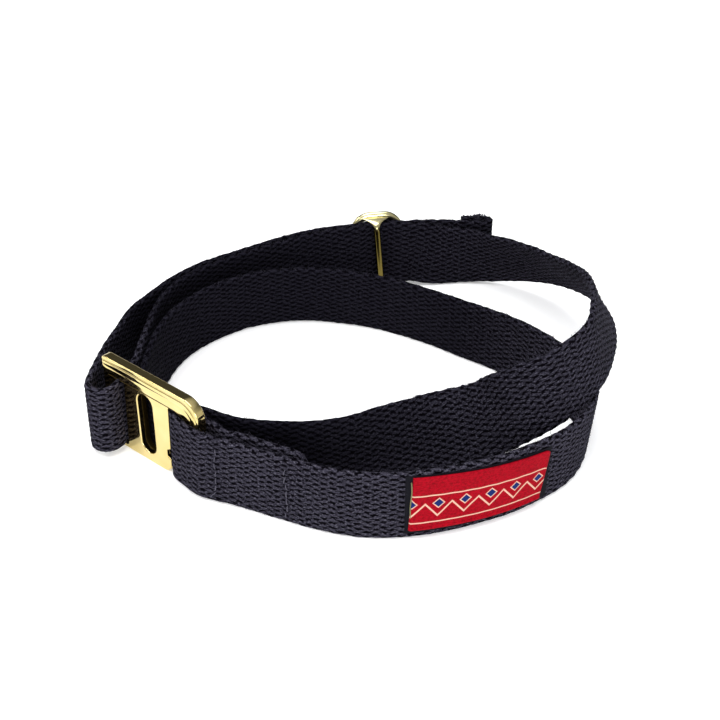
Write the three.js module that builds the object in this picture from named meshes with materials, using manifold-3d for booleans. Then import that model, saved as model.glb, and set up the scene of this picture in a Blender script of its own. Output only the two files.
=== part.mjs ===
import * as THREE from "three";
import { mergeVertices } from "three/addons/utils/BufferGeometryUtils.js";
import Module from "manifold-3d";

// Camp belt, fastened and lying in two turns on its lower edge.
// Millimetres, +Z up, seen along +Y: the hook buckle is front left, the slide is at the back.

const WEB_WIDTH = 25.4;
const WEB_THICK = 2.3;
const WEB_EDGE = 0.6;
const LAYER_GAP = 0.35;
const MAX_STEP = 5.5;
const LABEL_STEP = 1.5;
const MAX_TURN = THREE.MathUtils.degToRad(12);

const PLATE_LENGTH = 46.3;
const PLATE_HEIGHT = 34;
const PLATE_THICK = 2.6;
const PLATE_RADIUS = 4;
const SHOULDER_RADIUS = 5.5;
const PLATE_X = -85.8;
const PLATE_Y = -46.5;
const PLATE_TURN = -40.5;
const PLATE_LEAN = 2;
const RAIL_HEIGHT = 6.4;
const RAIL_THICK = 3.5;
const FOOT_HEIGHT = 1.5;
const STRAP_SLOT_START = 5;
const STRAP_SLOT_END = 10;
const BODY_SLOT_START = 17.2;
const BODY_SLOT_END = 24.4;
const BODY_SLOT_LOW = 3.8;
const BODY_SLOT_HIGH = 26.4;
const HOOK_OPEN_START = 32;
const HOOK_OPEN_END = 43;
const ARM_FOOT = 1.2;
const ARM_FOOT_RADIUS = 1.6;
const RAIL_OVERLAP = 0.4;

const SLIDE_X = 8;
const SLIDE_Y = 59;
const SLIDE_TURN = 8;
const SLIDE_LEAN = 5;
const SLIDE_LENGTH = 22;
const SLIDE_HEIGHT = 28.6;
const SLIDE_RAIL = 1.3;
const SLIDE_BAR = 2.6;
const SLIDE_THICK = 2;
const SLIDE_RADIUS = 2.5;
const CENTRE_BAR_FORWARD = 5;
const POST_WIDTH = 4;

const ROUND_SEGMENTS = 6;

const LABEL_START_X = 15;
const LABEL_END_X = 58.5;
const LABEL_LOW = 2.5;
const LABEL_HEIGHT = 20.9;
const LABEL_THICK = 0.7;

// Centre of the strap's lower edge. lean: degrees the upper edge tips to the left of the travel.
const SEWN_TAIL = [
  { x: -16, y: -91.1, z: 1.4, lean: 0 },
  { x: -28, y: -85.6, z: 1.3, lean: 0 },
  { x: -37, y: -81.2, z: 1.2, lean: -1 },
];

// The same, measured along the buckle plate from its left end and off its middle plane.
const HOOK_LOOP = [
  { along: 54, off: 2.9, z: 1, lean: -2 },
  { along: 49, off: 3.3, z: 0.8, lean: -2 },
  { along: 44.5, off: 3.6, z: 0.8, lean: -2 },
  { along: 39, off: 3.3, z: 0.8, lean: -2 },
  { along: 35, off: 2.3, z: 0.8, lean: -2 },
  { along: 33.7, off: 0.3, z: 0.8, lean: 0 },
  { along: 35, off: -1.8, z: 0.8, lean: 2 },
  { along: 39, off: -2.7, z: 0.8, lean: 2 },
  { along: 47, off: -3, z: 0.6, lean: 2 },
];

const FRONT_RUN = [
  { x: -47.6, y: -80.9, z: 0.4, lean: 1 },
  { x: -39, y: -84, z: 0.2, lean: 0 },
  { x: -26, y: -89.6, z: 0, lean: 0 },
  { x: -13, y: -95.3, z: 0, lean: 0 },
  { x: 0, y: -98.4, z: 0, lean: 0 },
  { x: 13, y: -98.6, z: 0, lean: 0 },
  { x: 26, y: -96, z: 0, lean: 0 },
  { x: 40, y: -91, z: 0, lean: -1 },
  { x: 53, y: -84, z: 0, lean: -2 },
  { x: 65, y: -75, z: 0, lean: -3 },
];

const RIGHT_TURN = [
  { x: 72.2, y: -65.3, z: 0, lean: -4 },
  { x: 76.2, y: -54, z: 0, lean: -4 },
  { x: 76.8, y: -44, z: 0, lean: -2 },
  { x: 73.2, y: -33, z: 0, lean: 0 },
];

const BACK_RUN = [
  { x: 64, y: -19.5, z: 0, lean: 0 },
  { x: 51, y: -7, z: 0, lean: 1 },
  { x: 37, y: 3.5, z: 0, lean: 3 },
  { x: 22, y: 14, z: 0, lean: 5 },
  { x: 8, y: 21.5, z: 0, lean: 6 },
  { x: -8, y: 26.5, z: 0, lean: 7 },
  { x: -24, y: 28, z: 0, lean: 7 },
  { x: -39, y: 25, z: 0, lean: 7 },
  { x: -51, y: 18, z: 0, lean: 5 },
  { x: -62, y: 7, z: 0, lean: 4 },
];

const LEFT_TURN = [
  { x: -69, y: -6, z: 0, lean: 2 },
  { x: -72, y: -20, z: 0, lean: 0 },
  { x: -73.1, y: -33, z: 0, lean: 0 },
  { x: -72.8, y: -46, z: 0, lean: 0 },
  { x: -66.5, y: -57.2, z: 0, lean: 0 },
];

const INNER_FRONT_RUN = [
  { x: -52, y: -65.5, z: 0, lean: 2 },
  { x: -39, y: -72, z: 0, lean: 3 },
  { x: -24, y: -75.2, z: 0, lean: 5 },
  { x: -6, y: -74.8, z: 0, lean: 10 },
  { x: 14, y: -70, z: 0, lean: 24 },
  { x: 30, y: -66.7, z: 1.8, lean: 33 },
  { x: 44, y: -69.6, z: 8, lean: 31 },
  { x: 56.1, y: -71.5, z: 16.7, lean: 26 },
  { x: 67, y: -68, z: 22.6, lean: 17 },
];

const CROSSING_END = [
  { x: 77, y: -58, z: 25.9, lean: 13 },
  { x: 83, y: -46.5, z: 25.7, lean: 18 },
  { x: 87.5, y: -32, z: 24, lean: 23 },
  { x: 90.8, y: -16, z: 21, lean: 29 },
  { x: 92, y: -1, z: 18, lean: 35 },
  { x: 91, y: 14, z: 15.3, lean: 40 },
  { x: 86.5, y: 28, z: 12, lean: 40 },
  { x: 79, y: 41, z: 8.2, lean: 35 },
  { x: 67, y: 51, z: 4.3, lean: 24 },
  { x: 54, y: 56.3, z: 1.2, lean: 14 },
  { x: 42, y: 57.3, z: 0.3, lean: 3 },
  { x: 30, y: 56, z: 0.3, lean: -5 },
];

// Through the slide, measured along it from its centre bar, off its middle plane and up its slope.
const SLIDE_INNER_PASS = [
  { along: 11.6, off: -5.7, height: 1.6, lean: -5 },
  { along: 8.2, off: -5.6, height: 1.6, lean: -5 },
  { along: 0, off: -2.3, height: 1.6, lean: -5 },
  { along: -8.2, off: -5.6, height: 1.6, lean: -5 },
  { along: -11.6, off: -5.7, height: 1.6, lean: -5 },
];

const INNER_LEFT_RUN = [
  { x: -16, y: 50, z: 1, lean: -4 },
  { x: -30, y: 45, z: 0.4, lean: -2 },
  { x: -45, y: 37, z: 0, lean: 0 },
  { x: -58.5, y: 27.4, z: 0, lean: 0 },
  { x: -67, y: 18, z: 0, lean: 0 },
  { x: -72.4, y: 5, z: 0.4, lean: 0 },
  { x: -75, y: -12, z: 1, lean: 0 },
  { x: -75.8, y: -27, z: 1.6, lean: 0 },
  { x: -76.4, y: -38, z: 1.8, lean: 0 },
];

// Round the buckle's left bar.
const SLOT_LOOP = [
  { along: 7.7, off: 0, z: 1.9, lean: 0 },
  { along: 9, off: -4.5, z: 1.9, lean: 0 },
  { along: 8.3, off: -8, z: 1.9, lean: -1 },
  { along: 5.2, off: -9.9, z: 1.9, lean: -2 },
  { along: 1.5, off: -8.7, z: 1.8, lean: -1 },
  { along: -1.7, off: -4.7, z: 1.6, lean: 0 },
];

const OUTER_LEFT_RUN = [
  { x: -88.7, y: -32.8, z: 1, lean: 0 },
  { x: -86, y: -18, z: 0.4, lean: 0 },
  { x: -82.6, y: -3, z: 0, lean: 0 },
  { x: -76.2, y: 9.6, z: 0, lean: 0 },
  { x: -68.7, y: 21, z: 0, lean: 0 },
  { x: -60.3, y: 29.8, z: 0, lean: 0 },
  { x: -46.5, y: 39.5, z: 0, lean: 0 },
  { x: -31.3, y: 47.8, z: 0.4, lean: 2 },
  { x: -16.9, y: 52.9, z: 1, lean: 4 },
];

const SLIDE_OUTER_PASS = [
  { along: -11.6, off: -2.8, height: 1.6, lean: 5 },
  { along: -8.2, off: -2.7, height: 1.6, lean: 5 },
  { along: 0, off: 0.7, height: 1.6, lean: 5 },
  { along: 8.2, off: -2.7, height: 1.6, lean: 5 },
  { along: 11.6, off: -2.8, height: 1.6, lean: 5 },
];

const FREE_TAIL = [
  { x: 28.5, y: 59.2, z: 1, lean: 8 },
  { x: 36.5, y: 60.3, z: 0.5, lean: 7 },
  { x: 43, y: 61, z: 0.4, lean: 4 },
  { x: 48.5, y: 62.1, z: 0.3, lean: 1 },
  { x: 50.5, y: 62.5, z: 0.3, lean: 0 },
  { x: 52.2, y: 63.2, z: 0.3, lean: 0 },
  { x: 52.9, y: 64.7, z: 0.3, lean: 0 },
  { x: 52.2, y: 66.2, z: 0.3, lean: 0 },
  { x: 50.5, y: 66.9, z: 0.3, lean: 0 },
  { x: 47.5, y: 66.5, z: 0.3, lean: 0 },
  { x: 41.5, y: 65.4, z: 0.3, lean: -3 },
];

const COLOURS = {
  webbing: 0x23252f,
  brass: 0xc9a34a,
  label: 0xb81f2d,
};

const wasm = await Module();
wasm.setup();

const rad = THREE.MathUtils.degToRad;

function onPlate(row) {
  const c = Math.cos(rad(PLATE_TURN));
  const s = Math.sin(rad(PLATE_TURN));
  const x = PLATE_X + row.along * c - row.off * s;
  const y = PLATE_Y + row.along * s + row.off * c;
  return { x, y, z: row.z, lean: row.lean };
}

function onSlide(row) {
  const c = Math.cos(rad(SLIDE_TURN));
  const s = Math.sin(rad(SLIDE_TURN));
  const tip = rad(SLIDE_LEAN);
  const back = row.off * Math.cos(tip) + row.height * Math.sin(tip);
  const z = row.height * Math.cos(tip) - row.off * Math.sin(tip);
  return { x: SLIDE_X + row.along * c - back * s, y: SLIDE_Y + row.along * s + back * c, z, lean: row.lean };
}

function strapRows() {
  return [
    ...SEWN_TAIL,
    ...HOOK_LOOP.map(onPlate),
    ...FRONT_RUN,
    ...RIGHT_TURN,
    ...BACK_RUN,
    ...LEFT_TURN,
    ...INNER_FRONT_RUN,
    ...CROSSING_END,
    ...SLIDE_INNER_PASS.map(onSlide),
    ...INNER_LEFT_RUN,
    ...SLOT_LOOP.map(onPlate),
    ...OUTER_LEFT_RUN,
    ...SLIDE_OUTER_PASS.map(onSlide),
    ...FREE_TAIL,
  ];
}

// A smooth curve through the rows, cut where it has run one step or turned enough.
function stationsAlong(rows, maxStep = MAX_STEP) {
  const points = rows.map((r) => new THREE.Vector3(r.x, r.y, r.z));
  const curve = new THREE.CatmullRomCurve3(points, false, "centripetal");
  const fine = 40 * (rows.length - 1);
  const stations = [];
  let last = null;
  let run = 0;
  let before = null;
  for (let k = 0; k <= fine; k += 1) {
    const t = k / fine;
    const at = curve.getPoint(t);
    const heading = curve.getTangent(t).normalize();
    const cell = Math.min(Math.floor(t * (rows.length - 1)), rows.length - 2);
    const part = t * (rows.length - 1) - cell;
    const lean = THREE.MathUtils.lerp(rows[cell].lean, rows[cell + 1].lean, part);
    run += before ? before.distanceTo(at) : 0;
    before = at;
    const far = last && at.distanceTo(last.at) >= maxStep;
    const bent = last && heading.angleTo(last.heading) >= MAX_TURN;
    if (last === null || far || bent || k === fine) {
      last = { at, heading, lean, run };
      stations.push(last);
    }
  }
  return stations;
}

function withAxes(station) {
  const zUp = new THREE.Vector3(0, 0, 1);
  const up = zUp.addScaledVector(station.heading, -station.heading.z).normalize();
  const left = new THREE.Vector3().crossVectors(up, station.heading);
  const across = up.clone().multiplyScalar(Math.cos(rad(station.lean)));
  across.addScaledVector(left, Math.sin(rad(station.lean)));
  const side = new THREE.Vector3().crossVectors(across, station.heading);
  const lift = (WEB_THICK / 2) * Math.abs(Math.sin(rad(station.lean)));
  const at = station.at.clone().add(new THREE.Vector3(0, 0, lift));
  return { ...station, at, across, side };
}

// Section corners as side offset and height, anticlockwise when seen against the travel.
function strapSection(half, low, high, edge) {
  return [
    [half, low + edge],
    [half, high - edge],
    [half - edge, high],
    [edge - half, high],
    [-half, high - edge],
    [-half, low + edge],
    [edge - half, low],
    [half - edge, low],
  ];
}

function sweep(stations, section) {
  const count = section.length;
  const positions = [];
  for (const s of stations) {
    for (const [out, high] of section) {
      const p = s.at.clone().addScaledVector(s.side, out).addScaledVector(s.across, high);
      positions.push(p.x, p.y, p.z);
    }
  }
  const index = [];
  for (let i = 0; i + 1 < stations.length; i += 1) {
    for (let j = 0; j < count; j += 1) {
      const a = i * count + j;
      const b = i * count + ((j + 1) % count);
      index.push(a, b, b + count, a, b + count, a + count);
    }
  }
  const lastRing = (stations.length - 1) * count;
  for (let j = 1; j + 1 < count; j += 1) {
    index.push(0, j + 1, j);
    index.push(lastRing, lastRing + j, lastRing + j + 1);
  }
  return { positions, index };
}

function toGeometry(positions, index) {
  const geometry = new THREE.BufferGeometry();
  geometry.setAttribute("position", new THREE.Float32BufferAttribute(positions, 3));
  geometry.setIndex(index);
  geometry.computeVertexNormals();
  return geometry;
}

function toSolid(geometry) {
  const bare = geometry.clone();
  bare.deleteAttribute("normal");
  bare.deleteAttribute("uv");
  const merged = mergeVertices(bare);
  const vertProperties = new Float32Array(merged.attributes.position.array);
  const triVerts = new Uint32Array(merged.index.array);
  return new wasm.Manifold(new wasm.Mesh({ numProp: 3, vertProperties, triVerts }));
}

function fromSolid(solid) {
  const mesh = solid.getMesh();
  return toGeometry(Array.from(mesh.vertProperties), Array.from(mesh.triVerts));
}

function joined(geometries) {
  const [first, ...rest] = geometries.map(toSolid);
  return fromSolid(rest.reduce((solid, next) => solid.add(next), first));
}

function named(name, geometry, colour, roughness, metalness) {
  const material = new THREE.MeshStandardMaterial({ color: colour, roughness, metalness });
  const mesh = new THREE.Mesh(geometry, material);
  mesh.name = name;
  return mesh;
}

function webbing() {
  const section = strapSection(WEB_THICK / 2, 0, WEB_WIDTH, WEB_EDGE);
  const { positions, index } = sweep(stationsAlong(strapRows()).map(withAxes), section);
  return named("webbing", toGeometry(positions, index), COLOURS.webbing, 0.9, 0);
}

function label() {
  const rows = FRONT_RUN.filter((r) => r.x > -20);
  const onPanel = (s) => s.at.x >= LABEL_START_X && s.at.x <= LABEL_END_X;
  const stations = stationsAlong(rows, LABEL_STEP).map(withAxes).filter(onPanel);
  const inner = WEB_THICK / 2 + LAYER_GAP;
  const outer = inner + LABEL_THICK;
  const high = LABEL_LOW + LABEL_HEIGHT;
  const section = [
    [-inner, LABEL_LOW],
    [-inner, high],
    [-outer, high],
    [-outer, LABEL_LOW],
  ];
  const { positions, index } = sweep(stations, section);
  return named("label", toGeometry(positions, index), COLOURS.label, 0.7, 0);
}

function rectangle(path, left, right, low, high) {
  return path.moveTo(left, low).lineTo(right, low).lineTo(right, high).lineTo(left, high).closePath();
}

function roundCorner(path, x, y, radius, startDegrees) {
  return path.absarc(x, y, radius, rad(startDegrees), rad(startDegrees + 90), false);
}

// A slot with round ends, taller than it is wide.
function roundSlot(left, right, low, high) {
  const radius = (right - left) / 2;
  const middle = left + radius;
  const path = new THREE.Path().moveTo(right, low + radius);
  path.absarc(middle, high - radius, radius, 0, Math.PI, false);
  path.absarc(middle, low + radius, radius, Math.PI, 2 * Math.PI, false);
  return path.closePath();
}

// Extruded about its middle plane, shifted forward by the given offset.
function flat(shape, thick, forward = 0) {
  const settings = { depth: thick, bevelEnabled: false, curveSegments: ROUND_SEGMENTS };
  return new THREE.ExtrudeGeometry(shape, settings).translate(0, 0, forward - thick / 2);
}

// Stands a flat piece up: tipped back from the upright, then turned about Z.
function standUp(mesh, x, y, turn, lean) {
  mesh.rotation.set(rad(90 - lean), 0, rad(turn), "ZXY");
  mesh.position.set(x, y, 0);
  return mesh;
}

// The body with its two slots, and the arm that hangs from the rail on the far side of the opening.
function roundShoulder(outline) {
  const r = SHOULDER_RADIUS;
  return roundCorner(outline, PLATE_LENGTH - r, PLATE_HEIGHT - r, r, 0);
}

function bucklePlate() {
  const railLow = PLATE_HEIGHT - RAIL_HEIGHT;
  const top = PLATE_HEIGHT - PLATE_RADIUS;
  const foot = ARM_FOOT + ARM_FOOT_RADIUS;
  const outline = new THREE.Shape().moveTo(PLATE_RADIUS, 0).lineTo(HOOK_OPEN_START, 0);
  outline.lineTo(HOOK_OPEN_START, railLow).lineTo(HOOK_OPEN_END, railLow).lineTo(HOOK_OPEN_END, ARM_FOOT);
  roundCorner(outline, PLATE_LENGTH - ARM_FOOT_RADIUS, foot, ARM_FOOT_RADIUS, -90);
  roundShoulder(outline);
  roundCorner(outline, PLATE_RADIUS, top, PLATE_RADIUS, 90);
  roundCorner(outline, PLATE_RADIUS, PLATE_RADIUS, PLATE_RADIUS, 180);
  outline.holes.push(rectangle(new THREE.Path(), STRAP_SLOT_START, STRAP_SLOT_END, FOOT_HEIGHT, railLow));
  outline.holes.push(roundSlot(BODY_SLOT_START, BODY_SLOT_END, BODY_SLOT_LOW, BODY_SLOT_HIGH));
  return flat(outline, PLATE_THICK);
}

function buckleRail() {
  const low = PLATE_HEIGHT - RAIL_HEIGHT + RAIL_OVERLAP;
  const top = PLATE_HEIGHT - PLATE_RADIUS;
  const outline = new THREE.Shape().moveTo(0, low).lineTo(PLATE_LENGTH, low);
  roundShoulder(outline);
  roundCorner(outline, PLATE_RADIUS, top, PLATE_RADIUS, 90);
  return flat(outline.closePath(), RAIL_THICK);
}

function hookBuckle() {
  const mesh = named("hook_buckle", joined([bucklePlate(), buckleRail()]), COLOURS.brass, 0.25, 1);
  return standUp(mesh, PLATE_X, PLATE_Y, PLATE_TURN, PLATE_LEAN);
}

function slideFrame() {
  const side = SLIDE_LENGTH / 2 - SLIDE_RADIUS;
  const top = SLIDE_HEIGHT - SLIDE_RADIUS;
  const inside = SLIDE_LENGTH / 2 - SLIDE_BAR;
  const outline = new THREE.Shape().moveTo(-side, 0);
  roundCorner(outline, side, SLIDE_RADIUS, SLIDE_RADIUS, -90);
  roundCorner(outline, side, top, SLIDE_RADIUS, 0);
  roundCorner(outline, -side, top, SLIDE_RADIUS, 90);
  roundCorner(outline, -side, SLIDE_RADIUS, SLIDE_RADIUS, 180);
  outline.holes.push(rectangle(new THREE.Path(), -inside, inside, SLIDE_RAIL, SLIDE_HEIGHT - SLIDE_RAIL));
  return flat(outline, SLIDE_THICK);
}

// The centre bar is bowed forward, on a short post at each end.
function slideCentreBar() {
  const post = CENTRE_BAR_FORWARD + SLIDE_THICK;
  const bar = new THREE.BoxGeometry(SLIDE_BAR, SLIDE_HEIGHT, SLIDE_THICK);
  bar.translate(0, SLIDE_HEIGHT / 2, CENTRE_BAR_FORWARD);
  const posts = [SLIDE_RAIL / 2, SLIDE_HEIGHT - SLIDE_RAIL / 2].map((height) => {
    const box = new THREE.BoxGeometry(POST_WIDTH, SLIDE_RAIL, post);
    return box.translate(0, height, CENTRE_BAR_FORWARD / 2);
  });
  return [bar, ...posts];
}

function slide() {
  const geometry = joined([slideFrame(), ...slideCentreBar()]);
  return standUp(named("slide", geometry, COLOURS.brass, 0.25, 1), SLIDE_X, SLIDE_Y, SLIDE_TURN, SLIDE_LEAN);
}

function centreOnGround(group) {
  const box = new THREE.Box3().setFromObject(group, true);
  const middle = box.getCenter(new THREE.Vector3());
  group.position.set(-middle.x, -middle.y, -box.min.z);
}

const belt = new THREE.Group();
belt.name = "camp_belt";
belt.add(webbing(), label(), hookBuckle(), slide());
centreOnGround(belt);

export default belt;
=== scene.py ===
"""Camp belt: cotton webbing, stitches, a woven label and polished brass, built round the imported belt."""

from __future__ import annotations

import logging
import math
from collections.abc import Sequence
from dataclasses import dataclass, field
from enum import Enum

import bpy
import numpy as np
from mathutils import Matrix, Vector
from mathutils.geometry import delaunay_2d_cdt


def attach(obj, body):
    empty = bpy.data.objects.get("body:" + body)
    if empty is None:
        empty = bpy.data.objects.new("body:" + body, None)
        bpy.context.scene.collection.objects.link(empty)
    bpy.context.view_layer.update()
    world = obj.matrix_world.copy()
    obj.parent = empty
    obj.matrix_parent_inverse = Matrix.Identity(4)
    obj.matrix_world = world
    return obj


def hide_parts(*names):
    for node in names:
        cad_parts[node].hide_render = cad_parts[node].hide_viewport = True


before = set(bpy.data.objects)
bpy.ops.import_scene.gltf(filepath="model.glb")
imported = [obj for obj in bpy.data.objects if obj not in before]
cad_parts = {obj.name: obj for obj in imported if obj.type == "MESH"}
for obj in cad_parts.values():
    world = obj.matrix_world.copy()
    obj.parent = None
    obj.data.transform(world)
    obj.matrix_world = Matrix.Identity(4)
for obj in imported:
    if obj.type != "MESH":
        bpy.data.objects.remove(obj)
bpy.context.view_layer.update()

log = logging.getLogger("camp_belt")

MM = 0.001
BODY = "root"
SEED = 8251

# Centre of the belt's box in the tables below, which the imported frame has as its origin, in mm.
TABLE_CENTRE = np.array([0.6989, -16.1223, -0.0872])

WEB_WIDTH = 25.4
WEB_THICK = 2.3
WEAVE_LENGTH = 5.3
WEAVE_HEIGHT = 2.1


class Slot(Enum):
    """The record's material slots."""

    WEBBING = "webbing"
    LABEL = "label"
    BRASS = "brass"


class Face(Enum):
    """Which face of the strap something lies on: left or right of the strap's own direction."""

    LEFT = 1.0
    RIGHT = -1.0


# Centre of the strap's lower edge as x, y and z in mm, and the degrees that its upper edge tips left.
Row = tuple[float, float, float, float]

PLATE_X, PLATE_Y, PLATE_TURN, PLATE_LEAN = -85.8, -46.5, -40.5, 2.0
SLIDE_X, SLIDE_Y, SLIDE_TURN, SLIDE_LEAN = 8.0, 59.0, 8.0, 5.0


def on_plate(rows: Sequence[Row]) -> list[Row]:
    """Turns rows along the buckle plate, off its middle plane and up into the belt's own axes."""
    c, s = math.cos(math.radians(PLATE_TURN)), math.sin(math.radians(PLATE_TURN))
    return [(PLATE_X + a * c - off * s, PLATE_Y + a * s + off * c, z, lean) for a, off, z, lean in rows]


def on_slide(rows: Sequence[Row]) -> list[Row]:
    """Turns rows along the slide, off its middle plane and up its slope into the belt's own axes."""
    c, s = math.cos(math.radians(SLIDE_TURN)), math.sin(math.radians(SLIDE_TURN))
    tip, made = math.radians(SLIDE_LEAN), []
    for along, off, height, lean in rows:
        back = off * math.cos(tip) + height * math.sin(tip)
        z = height * math.cos(tip) - off * math.sin(tip)
        made.append((SLIDE_X + along * c - back * s, SLIDE_Y + along * s + back * c, z, lean))
    return made


STRAP_ROWS: dict[str, list[Row]] = {
    "sewn_tail": [(-16, -91.1, 1.4, 0), (-28, -85.6, 1.3, 0), (-37, -81.2, 1.2, -1)],
    "hook_loop": on_plate([
        (54, 2.9, 1, -2), (49, 3.3, 0.8, -2), (44.5, 3.6, 0.8, -2), (39, 3.3, 0.8, -2), (34.4, 2.3, 0.8, -2),
        (33, 0.3, 0.8, 0), (34.4, -1.8, 0.8, 2), (39, -2.7, 0.8, 2), (47, -3, 0.6, 2)
    ]),
    "front_run": [
        (-47.6, -80.9, 0.4, 1), (-39, -84, 0.2, 0), (-26, -89.6, 0, 0), (-13, -95.3, 0, 0), (0, -98.4, 0, 0),
        (13, -98.6, 0, 0), (26, -96, 0, 0), (40, -91, 0, -1), (53, -84, 0, -2), (65, -75, 0, -3)
    ],
    "right_turn": [(72.2, -65.3, 0, -4), (76.2, -54, 0, -4), (76.8, -44, 0, -2), (73.2, -33, 0, 0)],
    "back_run": [
        (64, -19.5, 0, 0), (51, -7, 0, 1), (37, 3.5, 0, 3), (22, 14, 0, 5), (8, 21.5, 0, 6), (-8, 26.5, 0, 7),
        (-24, 28, 0, 7), (-39, 25, 0, 7), (-51, 18, 0, 5), (-62, 7, 0, 4)
    ],
    "left_turn": [
        (-69, -6, 0, 2), (-72, -20, 0, 0), (-73.1, -33, 0, 0), (-72.8, -46, 0, 0), (-66.5, -57.2, 0, 0)
    ],
    "inner_front_run": [
        (-52, -65.5, 0, 2), (-39, -72, 0, 3), (-24, -75.2, 0, 5), (-6, -74.8, 0, 10), (14, -70, 0, 24),
        (30, -66.7, 1.8, 33), (44, -69.6, 8, 31), (56.1, -71.5, 16.7, 26), (67, -68, 22.6, 17)
    ],
    "crossing_end": [
        (77, -58, 25.9, 13), (83, -46.5, 25.7, 18), (87.5, -32, 24, 23), (90.8, -16, 21, 29),
        (92, -1, 18, 35), (91, 14, 15.3, 40), (86.5, 28, 12, 40), (79, 41, 8.2, 35), (67, 51, 4.3, 24),
        (54, 56.3, 1.2, 14), (42, 57.3, 0.3, 3), (30, 56, 0.3, -5)
    ],
    "slide_inner_pass": on_slide([
        (11.6, -5.7, 1.6, -5), (8.2, -5.6, 1.6, -5), (0, -2.3, 1.6, -5), (-8.2, -5.6, 1.6, -5),
        (-11.6, -5.7, 1.6, -5)
    ]),
    "inner_left_run": [
        (-16, 50, 1, -4), (-30, 45, 0.4, -2), (-45, 37, 0, 0), (-58.5, 27.4, 0, 0), (-67, 18, 0, 0),
        (-72.4, 5, 0.4, 0), (-75, -12, 1, 0), (-75.8, -27, 1.6, 0), (-76.4, -38, 1.8, 0)
    ],
    "slot_loop": on_plate([
        (7.7, 0, 1.9, 0), (9, -4.5, 1.9, 0), (8.3, -8, 1.9, -1), (5.2, -9.9, 1.9, -2), (1.5, -8.7, 1.8, -1),
        (-1.7, -4.7, 1.6, 0)
    ]),
    "outer_left_run": [
        (-88.7, -32.8, 1, 0), (-86, -18, 0.4, 0), (-82.6, -3, 0, 0), (-76.2, 9.6, 0, 0), (-68.7, 21, 0, 0),
        (-60.3, 29.8, 0, 0), (-46.5, 39.5, 0, 0), (-31.3, 47.8, 0.4, 2), (-16.9, 52.9, 1, 4)
    ],
    "slide_outer_pass": on_slide([
        (-11.6, -2.8, 1.6, 5), (-8.2, -2.7, 1.6, 5), (0, 0.7, 1.6, 5), (8.2, -2.7, 1.6, 5),
        (11.6, -2.8, 1.6, 5)
    ]),
    "free_tail": [
        (28.5, 59.2, 1, 8), (36.5, 60.3, 0.5, 7), (43, 61, 0.4, 4), (48.5, 62.1, 0.3, 1),
        (50.5, 62.5, 0.3, 0), (52.2, 63.2, 0.3, 0), (52.9, 64.7, 0.3, 0), (52.2, 66.2, 0.3, 0),
        (50.5, 66.9, 0.3, 0), (47.5, 66.5, 0.3, 0), (41.5, 65.4, 0.3, -3)
    ]
}

# Painted light along each stretch, from 0 to 1, near its start and near its end: low for the inner and back
# stretches in painted shade, 1 for the lit outer front.
PAINTED_LIGHT: dict[str, tuple[float, float]] = {
    "sewn_tail": (0.75, 0.75), "hook_loop": (0.8, 0.85), "front_run": (1.0, 1.0), "right_turn": (1.0, 0.9),
    "back_run": (0.12, 0.1), "left_turn": (0.1, 0.1), "inner_front_run": (0.02, 0.5),
    "crossing_end": (0.85, 0.4), "slide_inner_pass": (0.15, 0.15), "inner_left_run": (0.08, 0.08),
    "slot_loop": (0.9, 0.9), "outer_left_run": (0.12, 0.08), "slide_outer_pass": (0.15, 0.15),
    "free_tail": (0.2, 0.2)
}


def linear(code: str) -> tuple[float, float, float, float]:
    """Turns an sRGB hex value such as "c9a34a" into linear red, green and blue, and a full alpha."""
    shares = [int(code[i : i + 2], 16) / 255 for i in (0, 2, 4)]
    r, g, b = (c / 12.92 if c <= 0.04045 else ((c + 0.055) / 1.055) ** 2.4 for c in shares)
    return (r, g, b, 1.0)


@dataclass(frozen=True)
class Wire:
    """One output of a node. Arithmetic on it adds Math nodes to its tree."""

    tree: bpy.types.NodeTree
    node: bpy.types.Node
    output: int | str = 0

    def out(self, output: int | str) -> Wire:
        """Another output of the same node."""
        return Wire(self.tree, self.node, output)

    def math(self, operation: str, *operands: Wire | float) -> Wire:
        """One Math node on the operands."""
        return add(self.tree, "ShaderNodeMath", dict(enumerate(operands)), operation=operation)

    def __add__(self, other: Wire | float) -> Wire:
        """Adds."""
        return self.math("ADD", self, other)

    def __sub__(self, other: Wire | float) -> Wire:
        """Takes away."""
        return self.math("SUBTRACT", self, other)

    def __rsub__(self, other: float) -> Wire:
        """Is taken from a number."""
        return self.math("SUBTRACT", other, self)

    def __mul__(self, other: Wire | float) -> Wire:
        """Multiplies."""
        return self.math("MULTIPLY", self, other)

    def __truediv__(self, other: Wire | float) -> Wire:
        """Divides."""
        return self.math("DIVIDE", self, other)

    def __lt__(self, other: Wire | float) -> Wire:
        """One where it is less than the other, and nothing elsewhere."""
        return self.math("LESS_THAN", self, other)

    def __abs__(self) -> Wire:
        """Its size without its sign."""
        return self.math("ABSOLUTE", self)

    def rounded(self) -> Wire:
        """The nearest whole number."""
        return self.math("ROUND", self)

    def sine(self) -> Wire:
        """Its sine."""
        return self.math("SINE", self)

    def root(self) -> Wire:
        """Its square root."""
        return self.math("SQRT", self)

    def at_least(self, other: Wire | float) -> Wire:
        """The larger of the two."""
        return self.math("MAXIMUM", self, other)

    def at_most(self, other: Wire | float) -> Wire:
        """The smaller of the two."""
        return self.math("MINIMUM", self, other)


def add(
    tree: bpy.types.NodeTree, kind: str, inputs: dict[str | int, object] | None = None, **settings: object
) -> Wire:
    """Adds one node with its settings, its values and its links.

    Args:
        tree: the node tree.
        kind: the node's type name.
        inputs: a value, or a wire to link, for each input by name or number.
        settings: the node's own properties.

    Returns:
        The new node's first output.
    """
    made = tree.nodes.new(kind)
    for name, value in settings.items():
        setattr(made, name, value)
    for key, value in (inputs or {}).items():
        if isinstance(value, Wire):
            tree.links.new(value.node.outputs[value.output], made.inputs[key])
        else:
            made.inputs[key].default_value = value
    return Wire(tree, made)


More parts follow.
